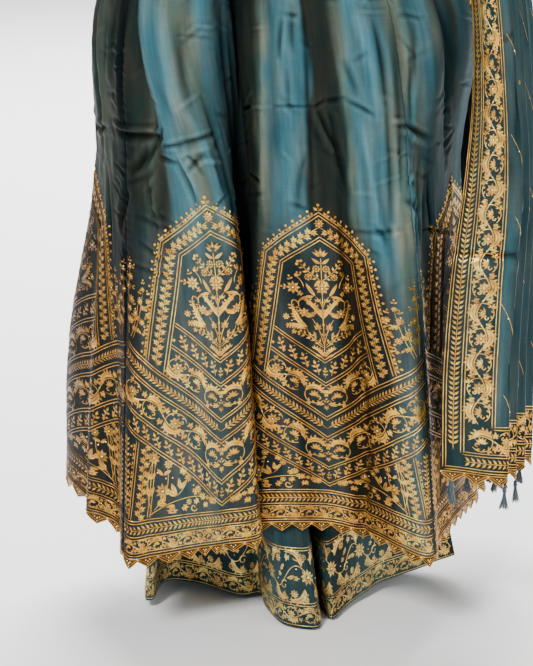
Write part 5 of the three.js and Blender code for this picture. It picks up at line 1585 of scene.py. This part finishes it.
def veil_colour_and_painted_light(across, length):
    """Teal, with painted shade deepening towards each pleat's turn, a painted highlight along its
    middle and painted shade in the packing creases; the border's ground is darker.
    """
    layer = PLEAT_START + across / (VEIL_WIDE / PLEATS)
    middle = 0.5 - 0.5 * np.cos(2 * np.pi * layer)
    waver = 0.5 + 0.5 * crumple(across, length, 24, 130, 91)
    lit = mix(VEIL_TURN_SHADE, mix(VEIL_MID, VEIL_LIT, waver[..., None] * 0.7), smooth(middle)[..., None])
    edge = np.minimum(np.minimum(across, VEIL_WIDE - across),
                      np.minimum(length, VEIL_LONG - length))
    # Painted shade in the packing creases, and a painted highlight on their ridges.
    crease_shade = np.clip(1 + 0.3 * veil_creases(across, length), 0.25, 1.25)
    dark = (mix(0.3, 1.0, smooth((edge - 62) / 8)) * crease_shade)[..., None]
    return mix(lit, VEIL_TURN_SHADOW, (0.55 * bump((layer - np.round(layer)) / 0.10))[..., None]) * dark


def veil_pattern():
    """Borders on all four edges, each a leaf ear and a running scroll between double lines, and
    over the field sparse slanting threads with a sequin and a small flower."""
    wide, long, ear, vine = VEIL_WIDE, VEIL_LONG, 15.5, 46.5
    # Frames of lines, mitred at the corners.
    parts = [double_line([(d, d), (wide - d, d), (wide - d, long - d), (d, long - d), (d, d)])
             for d in (4.0, 27.0, 66.0)]
    parts += [wheat_ear(np.array(path, float), 7.0, 10.0, 4.4, 42) for path in (
        ((ear, 30), (ear, long - 30)), ((wide - ear, long - 30), (wide - ear, 30)),
        ((wide - 30, ear), (30, ear)), ((30, long - ear), (wide - 30, long - ear)))]
    parts += [running_scroll(np.array(path, float), 34, 14.5) for path in (
        ((vine, 70), (vine, long - 70)), ((wide - vine, long - 70), (wide - vine, 70)),
        ((34, vine), (wide - 34, vine)), ((wide - 34, long - vine), (34, long - vine)))]
    r = np.random.default_rng(17)
    x, y = np.meshgrid(np.arange(86, wide - 90, 62.0), np.arange(100, long - 110, 118.0))
    x, y = x.ravel() + r.uniform(-8, 8, x.size), y.ravel() + r.uniform(-14, 14, x.size)
    y += 50 * (np.arange(x.size) % 2)
    x, y = x[y < long - 100], y[y < long - 100]
    thread = motif(ribbon(arc(-13, 24, 13, -24, 1.5, 13), 0.9, 0.6), lay(sequin(), 1, 0))
    return motif(*parts, lay(thread, x, y), lay(rosette(3.2, 6), x[::3] + 24, y[::3] + 40))


PLEAT_WIDE, PLEAT_COLUMNS = VEIL_WIDE / PLEATS, 14
pleat_at = np.arange(0, PLEATS * PLEAT_COLUMNS + 1) / PLEAT_COLUMNS * PLEAT_WIDE
# Columns crowd towards the pleats' turns.
layers = PLEAT_START + pleat_at / PLEAT_WIDE
crowded = pleat_at - 0.55 * np.sin(2 * np.pi * layers) / (2 * np.pi) * PLEAT_WIDE
crowded = (crowded - crowded[0]) / (crowded[-1] - crowded[0]) * VEIL_WIDE
# Rows lie closer on the front fall, where the packing creases show.
veil_rows = np.r_[np.arange(0, 340, 3.6), np.arange(340, 940, 6.2),
                  np.linspace(940, VEIL_LONG, 126)]
veil_cloth = Cloth(veil, crowded, veil_rows, veil_relief)
veil_cloth.colours = veil_colour_and_painted_light(veil_cloth.u, veil_cloth.v)
dupatta = veil_cloth.piece("dupatta_silk_length", DUPATTA_SILK, "dupatta_silk",
                           ["dupatta_front_fall", "dupatta_shoulder", "dupatta_back_fall"],
                           VEIL_WALL, veil_cloth.u, veil_cloth.v)
veil_work = embroider("dupatta_zari", veil_cloth, veil_pattern(), lambda x, y: (x, y), 0.12,
                      (0.96, 1.0, 1.25))


# Heads of the tassels, as mm down and radius; then how far down the skirt of strands begins.
TASSEL_HEAD = np.array([(0, 0.5), (1.2, 2.3), (3.0, 3.0), (4.6, 2.3), (5.6, 3.0), (6.4, 2.9),
                        (8.0, 3.4)])
TASSEL_NECK, TASSEL_LONG, STRANDS, STRAND_STEPS = 6.5, 34, 40, 6


def tassel(hook, seed):
    """A knotted head with a wound neck, and a skirt of strands that fan out unevenly. Each strand
    is a three-sided tube along a curve that leans out as the square of the way down."""
    r = np.random.default_rng(seed)
    down, radius = TASSEL_HEAD.T[:, None]
    a = np.linspace(0, 2 * np.pi, 10, endpoint=False)[:, None]
    head = np.stack([*polar(radius, a), np.broadcast_to(-down, (10, 7))], -1).reshape(-1, 3)
    turn = r.uniform(0, 2 * np.pi, STRANDS)[:, None]
    lean = r.uniform(0.3, 6.5, STRANDS)[:, None]
    long = (TASSEL_LONG - TASSEL_NECK - r.uniform(0, 4, STRANDS))[:, None]
    t = np.linspace(0, 1, STRAND_STEPS)
    sideways = [far + r.normal(0, 0.3, (STRANDS, 1)) * t
                for far in polar(1.2 + lean * t ** 1.6, turn)]
    path = np.stack([*sideways, -TASSEL_NECK - long * t], -1)
    b = np.linspace(0, 2 * np.pi, 3, endpoint=False)
    girth = 0.95 * np.stack([np.cos(b), np.sin(b), 0 * b], -1)
    strands = path[:, None] + girth[None, :, None] * (1 - 0.45 * t)[None, None, :, None]
    starts = len(head) + np.arange(STRANDS) * 3 * STRAND_STEPS
    one = grid_faces(3, STRAND_STEPS, ring=True)[:, ::-1]
    quads = [grid_faces(10, 7, ring=True)[:, ::-1], (one + starts[:, None, None]).reshape(-1, 4)]
    return np.vstack([head, strands.reshape(-1, 3)]) + hook, np.vstack(quads)


VEIL_TEETH, TASSELS = 30, 10
ENDS = (("front", 0.0, LACE_LINE, 100), ("back", VEIL_LONG, -LACE_LINE, 150))
steps = np.linspace(0, VEIL_WIDE, VEIL_TEETH * TOOTH_STEPS + 1)
edging = [lace_piece(f"dupatta_lace_{end}", VEIL_TEETH, veil_cloth, steps, start, line)
          for end, start, line, _ in ENDS]
for end, start, line, seed in ENDS:
    for k in range(TASSELS):
        across = VEIL_WIDE / VEIL_TEETH * (0.5 + round(k * (VEIL_TEETH - 1) / (TASSELS - 1)))
        here, inside = veil_cloth.at(np.full(2, across), np.array([start, start + line]),
                                     np.zeros(2))[0]
        hook = here + unit(here - inside) * (TOOTH_TIP + 2 * SEAM_GAP)
        edging.append(mesh_piece(f"tassel_{end}_{k + 1}_floss", *tassel(hook, seed + k),
                                 [TASSEL_FLOSS], "tassel_silk", [f"tassel_{end}_{k + 1}"]))


# ---------------------------------------------------------------- floor, light and camera
def studio_floor():
    """Seamless paper: matt, nearly white."""
    paper = new_material("studio_seamless_paper")
    place = node(paper, "ShaderNodeTexCoord").outputs["Object"]
    fibre = node(paper, "ShaderNodeTexNoise", {"Vector": place, "Scale": 40.0})
    tone = node(paper, "ShaderNodeMapRange", {"Value": fibre, "To Min": 0.93, "To Max": 0.96})
    finish_material(paper, Base_Color=tone, Roughness=0.95)
    size, level = 30.0, PALAZZO_HEM_Z * MM - 0.004
    mesh = bpy.data.meshes.new("studio_floor")
    corners = [(x * size, y * size, level) for x, y in ((-1, -1), (1, -1), (1, 1), (-1, 1))]
    mesh.from_pydata(corners, [], [(0, 1, 2, 3)])
    mesh.materials.append(paper)
    floor = bpy.data.objects.new("studio_floor", mesh)
    bpy.context.collection.objects.link(floor)


def soft_light(name, place, aim, size, watts):
    """Round area light that faces `aim`."""
    data = bpy.data.lights.new(name, "AREA")
    data.shape, data.size, data.energy = "DISK", size, watts
    lamp = bpy.data.objects.new(name, data)
    lamp.location = place
    d = np.array(aim, float) - np.array(place, float)
    flat = np.hypot(d[0], d[1])
    lamp.rotation_euler = (np.arctan2(flat, -d[2]), 0, np.arctan2(-d[0], d[1]))
    bpy.context.collection.objects.link(lamp)


studio_floor()
soft_light("key", (-1.6, -3.5, 2.1), (0, 0, -0.8), 1.2, 270)
soft_light("fill", (3.2, -2.2, 0.4), (0, 0, -0.8), 2.0, 60)
soft_light("ceiling", (0.3, 4.6, 4.2), (0.3, 4.4, -1.4), 6.0, 1700)
world = bpy.data.worlds.new("studio")
world.use_nodes = True
sky = world.node_tree.nodes["Background"].inputs
sky["Color"].default_value, sky["Strength"].default_value = (0.95, 0.97, 1.0, 1), 0.4
bpy.context.scene.world = world

camera_data = bpy.data.cameras.new("view")
# A long lens held far away flattens the view, as when a garment is shown in a catalogue.
camera_data.sensor_width = 36.0
camera_data.lens = 4000 / 37
camera = bpy.data.objects.new("view", camera_data)
camera.location = (-0.020, -2.8978, -0.2355)
camera.rotation_euler = (np.radians(75), 0, 0)
bpy.context.collection.objects.link(camera)
bpy.context.scene.camera = camera
